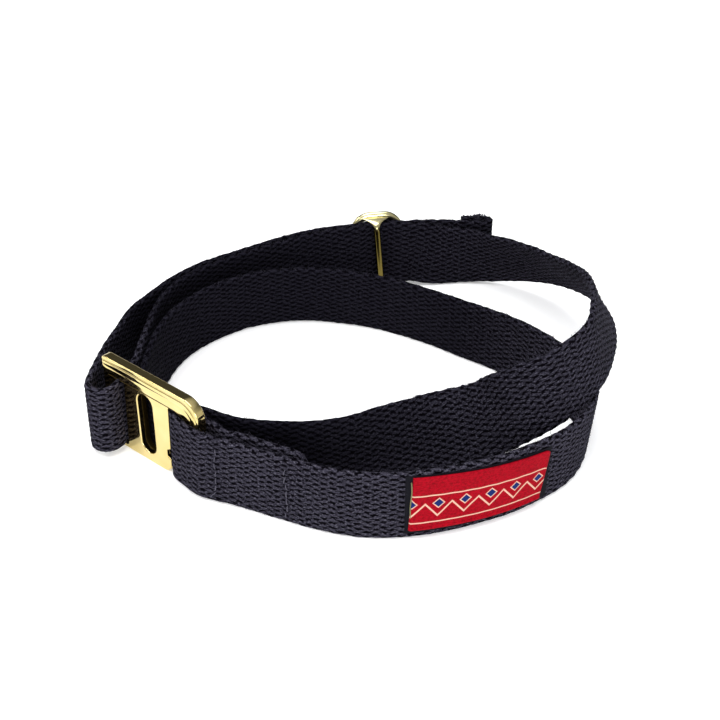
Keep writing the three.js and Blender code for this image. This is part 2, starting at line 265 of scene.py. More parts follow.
def new_material(name: str) -> tuple[bpy.types.Material, bpy.types.NodeTree]:
    """An empty node material and its tree."""
    made = bpy.data.materials.new(name)
    made.use_nodes = True
    made.node_tree.nodes.clear()
    return made, made.node_tree


def cloth_material(name: str) -> tuple[bpy.types.Material, Wire, Wire]:
    """An empty node material and the piece's UV map in mm: u along the strap, w round or across it."""
    made, tree = new_material(name)
    parts = add(tree, "ShaderNodeSeparateXYZ", {0: add(tree, "ShaderNodeUVMap", uv_map="UVMap")})
    return made, parts / MM, parts.out(1) / MM


def noise(u: Wire, w: Wire, length: float, height: float, detail: float = 2.0) -> Wire:
    """A noise whose grains are that long and high in mm on the surface."""
    place = add(u.tree, "ShaderNodeCombineXYZ", {0: u / length, 1: w / height})
    inputs = {"Vector": place, "Scale": 1.0, "Detail": detail}
    return add(u.tree, "ShaderNodeTexNoise", inputs, noise_dimensions="3D")


def mix(share: Wire, low: Wire | str, high: Wire | str) -> Wire:
    """The colour that share of the way from low to high, each a colour or an sRGB hex value."""
    ends = [linear(end) if isinstance(end, str) else end for end in (low, high)]
    inputs = {0: share, 6: ends[0], 7: ends[1]}
    return add(share.tree, "ShaderNodeMix", inputs, data_type="RGBA").out(2)


def finish(colour: Wire, values: dict[str, object], bump: tuple[float, float, Wire] | None = None) -> None:
    """Adds the shader and the material's output.

    Args:
        colour: the surface's colour.
        values: the shader's other inputs by name.
        bump: its strength, its depth in mm and its height, or None.
    """
    inputs = {"Base Color": colour, **values}
    if bump:
        strength, depth, height = bump
        raised = {"Strength": strength, "Distance": depth * MM, "Height": height}
        inputs["Normal"] = add(colour.tree, "ShaderNodeBump", raised)
    shader = add(colour.tree, "ShaderNodeBsdfPrincipled", inputs)
    add(colour.tree, "ShaderNodeOutputMaterial", {"Surface": shader})


@dataclass(frozen=True)
class CottonWebbing:
    """Heavy cotton web, piece dyed charcoal navy.

    Fat warp cords float over two picks and dive, one column half a row above the next, so the face
    reads as staggered lozenges that tilt in turns. Each cord is painted darker towards its rim, with
    painted near-black shadow in the gaps between. The yarn is spun staple, so it is matt, with paler
    fibre flecks painted brighter as glints on the cords' tops. Stretches in shade are painted darker.
    """

    name: str = "dyed_cotton_webbing"
    # Colour of the stretches in painted shade.
    top: str = "17161e"
    # Lighter colour painted on the lit stretches.
    painted_lit_colour: str = "393742"
    # Paler fibre, painted as glints on the cords' tops.
    glint_colour: str = "7a7886"
    # Painted shadow in the gaps between the floats.
    gap: str = "040307"
    roughness: float = 0.9
    specular: float = 0.02
    float_length: float = 4.6
    float_height: float = 1.55
    tilt: float = 0.24
    relief: float = 0.55
    drift_along: float = 2.9
    drift_across: float = 1.6
    fleck: float = 4.2

    def lozenges(self, u: Wire, w: Wire, parity: int) -> Wire:
        """Height of one of the two sets of floats, as an ellipse round each lattice point.

        height = sqrt(1 - (du / half length)^2 - (dw / half height)^2), cut at nothing, where du and dw
        are the distances to the nearest point of a lattice one weave length by one weave height.
        """
        shift, lean = 0.5 * parity, self.tilt * (1 - 2 * parity)
        column = u * (1 / WEAVE_LENGTH) + shift
        du = (column - column.rounded()) * WEAVE_LENGTH
        row = (w + du * lean) / WEAVE_HEIGHT + shift
        dw = (row - row.rounded()) * WEAVE_HEIGHT
        along, across = du / (self.float_length / 2), dw / (self.float_height / 2)
        return (1.0 - (along * along + across * across)).at_least(0.0).root()

    def material(self) -> bpy.types.Material:
        """Builds the shader on the strap's UV map, with the strap's painted light values."""
        made, u, w = cloth_material(self.name)
        drifted_u = u + (noise(u, w, 5.0, 3.0, 1.0) - 0.5) * self.drift_along
        drifted_w = w + (noise(u, w, 3.5, 4.5, 1.0) - 0.5) * self.drift_across
        fibre, fade = noise(u, w, 0.75, 0.38, 5.0), noise(u, w, 38.0, 20.0, 3.0)
        cord = self.lozenges(drifted_u, drifted_w, 0).at_least(self.lozenges(drifted_u, drifted_w, 1))
        fuzz = (fibre - 0.5) * self.fleck
        height = fuzz * 0.35 + cord
        # Painted shade: each cord darker towards its rim, and near black in the gaps between floats.
        shade = cord * 2.0 - 0.85 + fuzz
        use = add(u.tree, "ShaderNodeAttribute", attribute_name="painted_light").out("Fac")
        # Painted light: lit stretches take the lighter colour, and stretches in painted shade keep the darker
        # one.
        painted_light = (fade + 0.5) * use * shade
        # Painted glints of paler fibre, strongest on the cords' tops and on the lit stretches.
        bright = (fibre - 0.55) * self.fleck * cord * use
        colour = mix(bright, mix(painted_light, mix(shade, self.gap, self.top), self.painted_lit_colour), self.glint_colour)
        values = {"Roughness": self.roughness, "Specular IOR Level": self.specular}
        finish(colour, values, (1.0, self.relief, height))
        return made


@dataclass(frozen=True)
class SpunThread:
    """Spun sewing thread or loose yarn: two plies twisted, so light runs in slanting ridges, bumped and with
    painted shade in the grooves between them.
    """

    name: str
    colour: str
    # Colour of the painted shade in the grooves between the plies.
    dark: str
    twist: float = 0.55
    roughness: float = 0.8

    def material(self) -> bpy.types.Material:
        """Builds the shader: slanting ply ridges worked out from u and w, with painted shade in their
        grooves.
        """
        made, u, w = cloth_material(self.name)
        ply = ((u + w) * (2 * math.pi / self.twist)).sine() * 0.5 + 0.5
        values = {"Roughness": self.roughness, "Specular IOR Level": 0.1, "Sheen Weight": 0.03}
        finish(mix(ply, self.dark, self.colour), values, (0.6, 0.08, ply))
        return made


@dataclass(frozen=True)
class PolishedBrass:
    """Cast yellow brass, tumbled and buffed: bright pale gold with soft waves and hairline scuffs.

    Below the first height it keeps its deep tone, as painted shade, and above it is painted bright over the
    second, as painted light on the top.
    """

    name: str = "polished_brass"
    colour: str = "ddcb94"
    deep: str = "cab673"
    roughness: float = 0.1
    scuff_length: float = 6.0
    scuff_width: float = 0.12
    wave: float = 7.0
    # Height where the painted light on the top starts, and the rise over which it comes in fully, in mm.
    lit_from: float = -1.0
    lit_over: float = 1.0

    def material(self) -> bpy.types.Material:
        """Builds the shader on Object coordinates."""
        made, tree = new_material(self.name)
        place = add(tree, "ShaderNodeTexCoord").out("Object")
        long, fine = 1 / (self.scuff_length * MM), 1 / (self.scuff_width * MM)
        inputs = {"Vector": place, "Rotation": (0.2, 0.3, 0.7), "Scale": (long, fine, fine)}
        along = add(tree, "ShaderNodeMapping", inputs)
        scuff = add(tree, "ShaderNodeTexNoise", {"Vector": along, "Scale": 1.0, "Detail": 3.0})
        inputs = {"Vector": place, "Scale": 1 / (self.wave * MM), "Detail": 1.0}
        wave = add(tree, "ShaderNodeTexNoise", inputs)
        level = add(tree, "ShaderNodeSeparateXYZ", {0: place}).out(2)
        # Painted light on the top: 0 below the first height, rising to 1 over the second.
        painted_top_light = ((level - self.lit_from * MM) / (self.lit_over * MM)).at_least(0.0).at_most(1.0)
        values = {"Metallic": 1.0, "Roughness": (scuff - 0.5) * 0.12 + self.roughness}
        finish(mix(wave * painted_top_light, self.deep, self.colour), values, (0.35, 0.25, scuff * 0.012 + wave * 0.5))
        return made


@dataclass(frozen=True)
class WovenSatin:
    """Satin-woven label: red polyester ground with cream and blue figure threads.

    The ground's floats catch light in fine speckles. The figure is a plain zigzag between two lines
    with a small lozenge in each upper bay.
    """

    name: str = "woven_satin_label"
    red: str = "a2041a"
    deep_red: str = "65020c"
    cream: str = "cfa792"
    blue: str = "13245a"
    thread: float = 0.42
    middle: float = 8.0
    swing: float = 2.5
    period: float = 8.7
    line: float = 0.5
    borders: tuple[float, float] = (3.1, 13.7)
    lozenge: float = 1.6

    def figure(self, u: Wire, w: Wire) -> tuple[Wire, Wire]:
        """Masks of the cream and the blue threads, from triangle waves of u and distances of w.

        zigzag: |w - middle - swing * tri(u)| under a line. borders: |w - border| under half a line.
        lozenge: |du| + |dw| under its half size, in a cream rim one line wide.
        """
        cycle = u / self.period
        part = abs(cycle - cycle.rounded())
        zigzag = abs(w - (part * (4 * self.swing) + (self.middle - self.swing))) < 0.85 * self.line
        low, high = (abs(w - border) < self.line / 2 for border in self.borders)
        distance = part * self.period + abs(w - (self.middle + self.swing))
        rim = distance < self.lozenge + self.line
        return zigzag.at_least(low).at_least(high).at_least(rim), distance < self.lozenge

    def material(self) -> bpy.types.Material:
        """Builds the shader on the label's UV map."""
        made, u, w = cloth_material(self.name)
        cream, blue = self.figure(u, w)
        speck, shadow = noise(u, w, 0.95, 0.75), noise(u, w, 9.0, 7.0)
        turn = 2 * math.pi / self.thread
        cloth = (u * turn).sine() * (w * turn).sine() * 0.3
        tone = (speck + cloth - 0.33) * 2.2 + shadow * 0.5
        colour = mix(blue, mix(cream, mix(tone, self.deep_red, self.red), self.cream), self.blue)
        finish(colour, {"Roughness": 0.8, "Specular IOR Level": 0.06}, (0.7, 0.12, cloth + speck + cream))
        return made


@dataclass(frozen=True)
class SmoothTape:
    """Calendered polyester tape under the label: near black, closely woven and almost smooth; its thin
    margins past the label's top, bottom and right end are a dark sheet of painted shadow.
    """

    name: str = "backing_tape_and_shadow"
    colour: str = "08080c"
    light: str = "12121a"
    thread: float = 0.5

    def material(self) -> bpy.types.Material:
        """Builds the shader: fine ribs across the tape."""
        made, u, w = cloth_material(self.name)
        cloud = noise(u, w, 2.0, 6.0)
        rib = (w * (2 * math.pi / self.thread)).sine()
        values = {"Roughness": 0.8, "Specular IOR Level": 0.08}
        finish(mix(cloud, self.colour, self.light), values, (0.3, 0.04, rib))
        return made


@dataclass(frozen=True)
class PaleFloor:
    """Opal acrylic sheet of a light table: matt white, and lit a little from below."""

    name: str = "opal_acrylic_floor"
    colour: str = "f6f6f6"
    shade: str = "f2f2f3"
    glow: float = 0.36

    def material(self) -> bpy.types.Material:
        """Builds the shader with a trace of unevenness."""
        made, tree = new_material(self.name)
        place = add(tree, "ShaderNodeTexCoord").out("Object")
        cloud = add(tree, "ShaderNodeTexNoise", {"Vector": place, "Scale": 9.0, "Detail": 2.0})
        lit = {"Emission Color": linear(self.colour), "Emission Strength": self.glow}
        values = {"Roughness": 0.9, "Specular IOR Level": 0.1, **lit}
        finish(mix(cloud, self.shade, self.colour), values)
        return made


def new_object(name: str, data: bpy.types.ID) -> bpy.types.Object:
    """Makes an object and links it to the scene."""
    made = bpy.data.objects.new(name, data)
    bpy.context.scene.collection.objects.link(made)
    return made


def signed_volume(vertices: np.ndarray, faces: np.ndarray) -> float:
    """Volume inside the faces, negative if they point in, from the fans of four-cornered faces."""
    a, b, c, d = (vertices[faces[:, k]] for k in range(4))
    first = np.einsum("ij,ij->i", a, np.cross(b, c))
    second = np.einsum("ij,ij->i", a, np.cross(c, d))
    return float((first + second).sum() / 6)


def make_piece(
    name: str, vertices: np.ndarray, faces: list[Sequence[int]] | np.ndarray, material: bpy.types.Material,
    uvs: np.ndarray | None = None, flat_from: int | None = None
) -> bpy.types.Object:
    """Makes one piece of the belt that rides on its only body.

    Args:
        name: the piece's name.
        vertices: places in the tables' mm, one row each.
        faces: corner numbers of each face.
        material: its finish.
        uvs: one row in mm for each face corner, or None.
        flat_from: number of the first face that is flat, the ones before it being smooth.

    Returns:
        The object.
    """
    mesh = bpy.data.meshes.new(name)
    corners = [list(map(int, f)) for f in faces]
    mesh.from_pydata(((vertices - TABLE_CENTRE) * MM).tolist(), [], corners)
    smooth = np.ones(len(mesh.polygons), bool)
    if flat_from is not None:
        smooth[flat_from:] = False
    mesh.polygons.foreach_set("use_smooth", smooth)
    if uvs is not None:
        layer = mesh.uv_layers.new(name="UVMap")
        layer.data.foreach_set("uv", (uvs * MM).astype(np.float32).ravel())
    mesh.materials.append(material)
    mesh.validate()
    mesh.update()
    made = new_object(name, mesh)
    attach(made, BODY)
    log.info("%s: %d vertices, %d faces", name, len(mesh.vertices), len(mesh.polygons))
    return made


def grid_faces(rows: int, columns: int) -> np.ndarray:
    """Quads of a grid whose columns close on themselves, pointing out of an anticlockwise section."""
    i, j = np.meshgrid(np.arange(rows - 1), np.arange(columns), indexing="ij")
    after = (j + 1) % columns
    a, b = i * columns + j, i * columns + after
    return np.stack([a, b, b + columns, a + columns], -1).reshape(-1, 4)


def grid_uvs(along: np.ndarray, round_: np.ndarray) -> np.ndarray:
    """UV rows in mm for grid_faces: along for each row, round_ for each column and the closing one."""
    rows, columns = len(along), len(round_) - 1
    i, j = np.meshgrid(np.arange(rows - 1), np.arange(columns), indexing="ij")
    corners = [(i, j), (i, j + 1), (i + 1, j + 1), (i + 1, j)]
    return np.stack([np.stack([along[p], round_[q]], -1) for p, q in corners], 2).reshape(-1, 2)


def outward(
    vertices: np.ndarray, faces: np.ndarray, uvs: np.ndarray | None = None
) -> tuple[np.ndarray, np.ndarray | None]:
    """The quads and their UV rows, both turned round if the quads point in."""
    if signed_volume(vertices, faces) >= 0:
        return faces, uvs
    return faces[:, ::-1], None if uvs is None else uvs.reshape(-1, 4, 2)[:, ::-1].reshape(-1, 2)


def end_caps(faces: np.ndarray, columns: int, rings: int) -> list[list[int]]:
    """One face for each end of a grid of quads, turned as the quads are."""
    first = list(range(columns))
    last = [c + (rings - 1) * columns for c in first]
    return [first[::-1], last] if faces[0][1] == 1 else [first, last[::-1]]


def above_floor(places: np.ndarray, clear: float) -> np.ndarray:
    """The places, with none lower than that clearance above the floor."""
    places[..., 2] = np.maximum(places[..., 2], TABLE_CENTRE[2] + clear)
    return places


@dataclass
class Frames:
    """Stations on the strap: the lower edge's centre and the directions there, with mm run so far."""

    at: np.ndarray
    heading: np.ndarray
    across: np.ndarray
    side: np.ndarray
    run: np.ndarray

    def places(self, out: np.ndarray, high: np.ndarray) -> np.ndarray:
        """Points at = lower edge + side * out + across * high, for every station and column."""
        shape = np.broadcast_shapes(out.shape, high.shape, (len(self.at), 1))
        o, h = np.broadcast_to(out, shape)[..., None], np.broadcast_to(high, shape)[..., None]
        return self.at[:, None] + self.side[:, None] * o + self.across[:, None] * h

    def spots(self, out: np.ndarray | float, high: np.ndarray | float) -> np.ndarray:
        """One such point for each station."""
        return self.at + self.side * np.reshape(out, (-1, 1)) + self.across * np.reshape(high, (-1, 1))


@dataclass
class StrapRoute:
    """The strap's way through all its rows, a centripetal Catmull-Rom curve with a lean."""

    rows: dict[str, list[Row]]
    fine: int = 48
    _cubics: np.ndarray = field(init=False)
    _fine_t: np.ndarray = field(init=False)
    _fine_run: np.ndarray = field(init=False)
    _fine_turn: np.ndarray = field(init=False)

    def __post_init__(self) -> None:
        """Works out each gap's cubic, then the run and the turning along the whole strap.

        The tangent at a row is (p1-p0)/d0 - (p2-p0)/(d0+d1) + (p2-p1)/d1, scaled by the gap's own d,
        where each d is the square root of the distance between two rows.
        """
        p = np.array([row for rows in self.rows.values() for row in rows], float)
        p = np.vstack([2 * p[0] - p[1], p, 2 * p[-1] - p[-2]])
        d = np.sqrt(np.linalg.norm(np.diff(p[:, :3], axis=0), axis=1))[:, None]
        step = np.diff(p, axis=0)
        d0, d1, d2 = d[:-2], d[1:-1], d[2:]
        s0, s1, s2 = step[:-2], step[1:-1], step[2:]
        enter = (s0 / d0 - (s0 + s1) / (d0 + d1) + s1 / d1) * d1
        leave = (s1 / d1 - (s1 + s2) / (d1 + d2) + s2 / d2) * d1
        self._cubics = np.stack([p[1:-2], enter, 3 * s1 - 2 * enter - leave, enter + leave - 2 * s1])
        gaps = self._cubics.shape[1]
        self._fine_t = np.linspace(0, gaps, gaps * self.fine + 1)
        frames = self._frames(self._fine_t)
        middle = frames.at + frames.across * WEB_WIDTH / 2
        self._fine_run = np.append(0, np.cumsum(np.linalg.norm(np.diff(middle, axis=0), axis=1)))
        cosines = np.einsum("ij,ij->i", frames.heading[1:], frames.heading[:-1])
        turns = np.degrees(np.arccos(np.clip(cosines, -1, 1)))
        self._fine_turn = np.append(0, np.cumsum(turns))

    @property
    def length(self) -> float:
        """Length of the strap along the middle of its width, in mm."""
        return float(self._fine_run[-1])

    def _frames(self, t: np.ndarray) -> Frames:
        """Stations at the parameter t, where whole numbers are the rows.

        up is the vertical made square to the heading, across is up tipped left by the lean, and side
        is across x heading. A leaning strap is raised to stand on its lower corner.
        """
        gap = np.minimum(t.astype(int), self._cubics.shape[1] - 1)
        x = (t - gap)[:, None]
        c0, c1, c2, c3 = (c[gap] for c in self._cubics)
        place = c0 + x * (c1 + x * (c2 + x * c3))
        heading = (c1 + x * (2 * c2 + 3 * x * c3))[:, :3]
        heading = heading / np.linalg.norm(heading, axis=1, keepdims=True)
        up = np.array([0.0, 0.0, 1.0]) - heading * heading[:, 2:]
        up = up / np.linalg.norm(up, axis=1, keepdims=True)
        left = np.cross(up, heading)
        lean = np.radians(place[:, 3:])
        across = up * np.cos(lean) + left * np.sin(lean)
        at = place[:, :3].copy()
        at[:, 2] += WEB_THICK / 2 * np.abs(np.sin(lean[:, 0]))
        return Frames(at, heading, across, np.cross(across, heading), np.zeros(len(t)))

    def frames(self, run: np.ndarray) -> Frames:
        """Stations at these runs in mm."""
        made = self._frames(np.interp(run, self._fine_run, self._fine_t))
        made.run = np.asarray(run, float)
        return made

    def turn_at(self, run: np.ndarray) -> np.ndarray:
        """Degrees turned up to these runs."""
        return np.interp(run, self._fine_run, self._fine_turn)

    def run_of(self, name: str) -> tuple[float, float]:
        """The runs at which a named stretch of rows begins and ends."""
        names = list(self.rows)
        before = sum(len(self.rows[n]) for n in names[: names.index(name)])
        ends = np.array([before, before + len(self.rows[name]) - 1], float)
        start, end = np.interp(ends, self._fine_t, self._fine_run)
        return float(start), float(end)

    def run_at_x(self, name: str, x: float) -> float:
        """The run at which a stretch that goes to the right or left reaches x."""
        runs = np.linspace(*self.run_of(name), 400)
        xs = self.frames(runs).at[:, 0]
        order = np.argsort(xs)
        return float(np.interp(x, xs[order], runs[order]))


@dataclass
class Webbing:
    """The whole strap: one closed ribbon with rounded selvages and the weave's relief."""

    route: StrapRoute
    face_steps: int = 48
    edge_steps: int = 4
    edge_radius: float = 0.7
    turn_step: float = 12.0
    relief: float = 0.18
    raw_radius: float = 4.5
    wobble: float = 0.07
    sway_lengths: tuple[float, float] = (7.3, 4.1)
    ragged: float = 0.14
    groove_width: float = 1.2
    groove_shade: float = 0.45

    def runs(self) -> np.ndarray:
        """Ring places: four to a weave length, and more where the strap turns sharply."""
        count = round(self.route.length / (WEAVE_LENGTH / 4))
        whole = np.linspace(0, self.route.length, count + 1)
        turned = np.diff(self.route.turn_at(whole))
        pieces = np.maximum(np.ceil(turned / self.turn_step).astype(int), 1)
        start = np.repeat(whole[:-1], pieces)
        first = np.repeat(np.cumsum(pieces) - pieces, pieces)
        part = (np.arange(pieces.sum()) - first) / np.repeat(pieces, pieces)
        return np.append(start + part * (whole[1] - whole[0]), self.route.length)

    def section(self) -> tuple[np.ndarray, np.ndarray, np.ndarray, np.ndarray]:
        """The strap's section, once round: up the left face, over, down the right face and under.

        Returns:
            Side offset, height, and the two parts of the outward direction.
        """
        half, low = WEB_THICK / 2 - 0.4 * self.relief, self.edge_radius
        rise = np.linspace(low, WEB_WIDTH - low, self.face_steps + 1)[:-1]
        angle = np.linspace(0, np.pi, self.edge_steps + 1)[:-1]
        out = np.concatenate([np.full(len(rise), half), half * np.cos(angle)])
        high = np.concatenate([rise, WEB_WIDTH - low + low * np.sin(angle)])
        push = np.concatenate([np.ones(len(rise)), np.cos(angle)])
        lift = np.concatenate([np.zeros(len(rise)), np.sin(angle)])
        return (
            np.concatenate([out, -out]), np.concatenate([high, WEB_WIDTH - high]),
            np.concatenate([push, -push]), np.concatenate([lift, -lift])
        )

    def heights(self, run: np.ndarray, high: np.ndarray) -> np.ndarray:
        """Heights with the raw end's upper corner rounded: a quarter circle of the raw radius."""
        short = np.clip(self.raw_radius - run, 0, self.raw_radius)[:, None]
        top = WEB_WIDTH - self.raw_radius + np.sqrt(self.raw_radius**2 - short**2)
        return high * np.maximum(top, WEB_WIDTH - self.raw_radius) / WEB_WIDTH

    def build(self, material: bpy.types.Material) -> bpy.types.Object:
        """Makes the strap: relief = depth * cos(2 pi u / length) * cos(2 pi w / height)."""
        frames = self.route.frames(self.runs())
        out, high, push, lift = self.section()
        columns = len(out)
        round_ = np.arange(columns + 1) * WEAVE_HEIGHT / 4
        u = frames.run[:, None]
        lattice = np.cos(2 * np.pi * u / WEAVE_LENGTH) * np.cos(2 * np.pi * round_[:-1] / WEAVE_HEIGHT)
        bulge = self.relief * lattice
        long, short = self.sway_lengths
        sway = self.wobble * (np.sin(u / long) + np.sin(u / short + 2.0 * high / WEB_WIDTH))
        ragged = np.random.default_rng(SEED + 2).normal(0, self.ragged, (len(frames.run), columns))
        highs = self.heights(frames.run, high) + (bulge + ragged) * lift
        vertices = frames.places(out + bulge * push + sway, highs).reshape(-1, 3)
        faces = grid_faces(len(frames.run), columns)
        faces, uvs = outward(vertices, faces, grid_uvs(frames.run, round_))
        caps = self.caps(columns, len(frames.run))
        uvs = np.vstack([uvs, [(high[c % columns], out[c % columns]) for cap in caps for c in cap]])
        made = make_piece("webbing_strap", vertices, faces.tolist() + caps, material, uvs)
        # Painted light for each ring, read by the webbing's shader.
        painted_light = np.repeat(self.painted_light(frames.run), columns).astype(np.float32)
        made.data.attributes.new("painted_light", "FLOAT", "POINT").data.foreach_set("value", painted_light)
        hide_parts("webbing")
        return made

    def painted_light(self, run: np.ndarray) -> np.ndarray:
        """Painted light along the strap: most on the lit outer front run, with painted shade on the inner and
        back stretches and in each seam's groove.
        """
        spans = [self.route.run_of(name) for name in PAINTED_LIGHT]
        places = [start + (end - start) * part for start, end in spans for part in (0.25, 0.75)]
        share = np.interp(run, places, np.array(list(PAINTED_LIGHT.values())).ravel())
        seams = np.array([self.route.run_at_x("front_run", x) for x in Stitching.loop_lines_x])
        groove = np.exp(-(((run[:, None] - seams) / self.groove_width) ** 2)).sum(1)
        return share * (1 - self.groove_shade * groove)

    def caps(self, columns: int, rings: int) -> list[list[int]]:
        """Closes both raw ends with a ladder of quads between the faces and one face for each edge."""
        n, e = self.face_steps, self.edge_steps
        ladder = [[j, j + 1, 2 * n + e - j - 1, 2 * n + e - j] for j in range(n)]
        ends = [list(range(n, n + e + 1)), [*range(2 * n + e, columns), 0]]
        first = ladder + ends
        last = [[c + (rings - 1) * columns for c in reversed(cap)] for cap in first]
        return first + last


def tubes(paths: np.ndarray, radii: np.ndarray, sides: int) -> tuple[np.ndarray, list, np.ndarray]:
    """Many round tubes at once, each a circle of its own radius carried along its own path.

    point = path + radius * (cos(a) * first + sin(a) * second), where first and second are square to
    the path. Each end is closed by one face.

    Args:
        paths: places in mm, tubes x points x 3.
        radii: tubes x points.
        sides: corners of each circle.

    Returns:
        Vertices, faces and the UV rows of the face corners in mm.
    """
    count, points = paths.shape[:2]
    heading = np.gradient(paths, axis=1)
    heading /= np.linalg.norm(heading, axis=2, keepdims=True) + 1e-9
    mean = heading.mean(axis=1)
    least = np.eye(3)[np.argmin(np.abs(mean), axis=1)][:, None]
    first = np.cross(heading, least)
    first /= np.linalg.norm(first, axis=2, keepdims=True) + 1e-9
    second = np.cross(heading, first)
    angle = 2 * np.pi * np.arange(sides) / sides
    ring = first[:, :, None] * np.cos(angle)[:, None] + second[:, :, None] * np.sin(angle)[:, None]
    vertices = (paths[:, :, None] + ring * radii[:, :, None, None]).reshape(-1, 3)
    base = grid_faces(points, sides)
    starts = np.arange(count) * points * sides
    faces = (base[None] + starts[:, None, None]).reshape(-1, 4).tolist()
    low = (np.arange(sides)[::-1][None] + starts[:, None]).tolist()
    high = (np.arange(sides)[None] + starts[:, None] + (points - 1) * sides).tolist()
    run = np.append(0, np.cumsum(np.linalg.norm(np.diff(paths[0], axis=0), axis=1)))
    girth = np.linspace(0, 2 * np.pi * float(radii.max()), sides + 1)
    uvs = np.tile(grid_uvs(run, girth), (count, 1))
    cap_uvs = np.zeros((2 * count * sides, 2))
    return vertices, faces + low + high, np.vstack([uvs, cap_uvs])


def tube_piece(
    name: str, paths: np.ndarray, radii: np.ndarray | float, sides: int, material: bpy.types.Material,
) -> bpy.types.Object:
    """Makes one piece of many tubes, whose radii are given for each, for each point or for all."""
    vertices, faces, uvs = tubes(paths, np.broadcast_to(radii, paths.shape[:2]), sides)
    return make_piece(name, vertices, faces, material, uvs)


@dataclass
class Stitching:
    """Lines of lockstitch across the strap, that hold the loop at the buckle and the tail's hem."""

    route: StrapRoute
    pitch: float = 2.9
    stitch: float = 2.3
    thread: float = 0.5
    low: float = 1.6
    high: float = 24.0
    loop_lines_x: tuple[float, float] = (-45.8, -22.8)
    hem_lines_x: tuple[float, float] = (44.5, 49.5)
    hem_end_x: float = 41.5
    hem_length: float = 24.0
    arch: float = 0.5
    sunk: tuple[float, float] = (0.1, 0.4)
    drift: float = 0.16
    slant: float = 0.7

    def line(self, run: float, face: Face, rng: np.random.Generator) -> np.ndarray:
        """Paths of one line of stitches: each a shallow arch from one needle hole to the next."""
        starts = np.arange(self.low, self.high - self.stitch, self.pitch)
        t = np.linspace(0, 1, 7)
        high = starts[:, None] + t * self.stitch
        each = (len(starts), 1)
        arch = np.sin(np.pi * t) ** 0.6 * self.arch - rng.uniform(*self.sunk, each)
        slip = rng.normal(0, self.drift, each) + rng.normal(0, self.slant, each) * (t - 0.5)
        frames = self.route.frames(np.full(len(starts), run) + slip[:, 0])
        out = face.value * (WEB_THICK / 2 + np.broadcast_to(arch, high.shape))
        return frames.places(out, high) + frames.heading[:, None] * slip[..., None]

    def build(self, material: bpy.types.Material) -> bpy.types.Object:
        """Makes the stitches that hold the sewn tail and the hem, all as one piece."""
        rng = np.random.default_rng(SEED)
        lines = []
        for x in self.loop_lines_x:
            lines.append(self.line(self.route.run_at_x("front_run", x), Face.RIGHT, rng))
            lines.append(self.line(self.route.run_at_x("sewn_tail", x), Face.RIGHT, rng))
        hem_start = self.route.run_of("free_tail")[0]
        for x in self.hem_lines_x:
            runs = np.linspace(hem_start, hem_start + self.hem_length, 300)
            run = float(np.interp(x, self.route.frames(runs).at[:, 0], runs))
            lines.append(self.line(run, Face.LEFT, rng))
            lines.append(self.line(self.route.length - (x - self.hem_end_x), Face.LEFT, rng))
        paths = np.vstack(lines)
        radii = self.thread / 2 * rng.uniform(0.6, 1.0, (len(paths), 1))
        return tube_piece("stitching", paths, radii, 8, material)


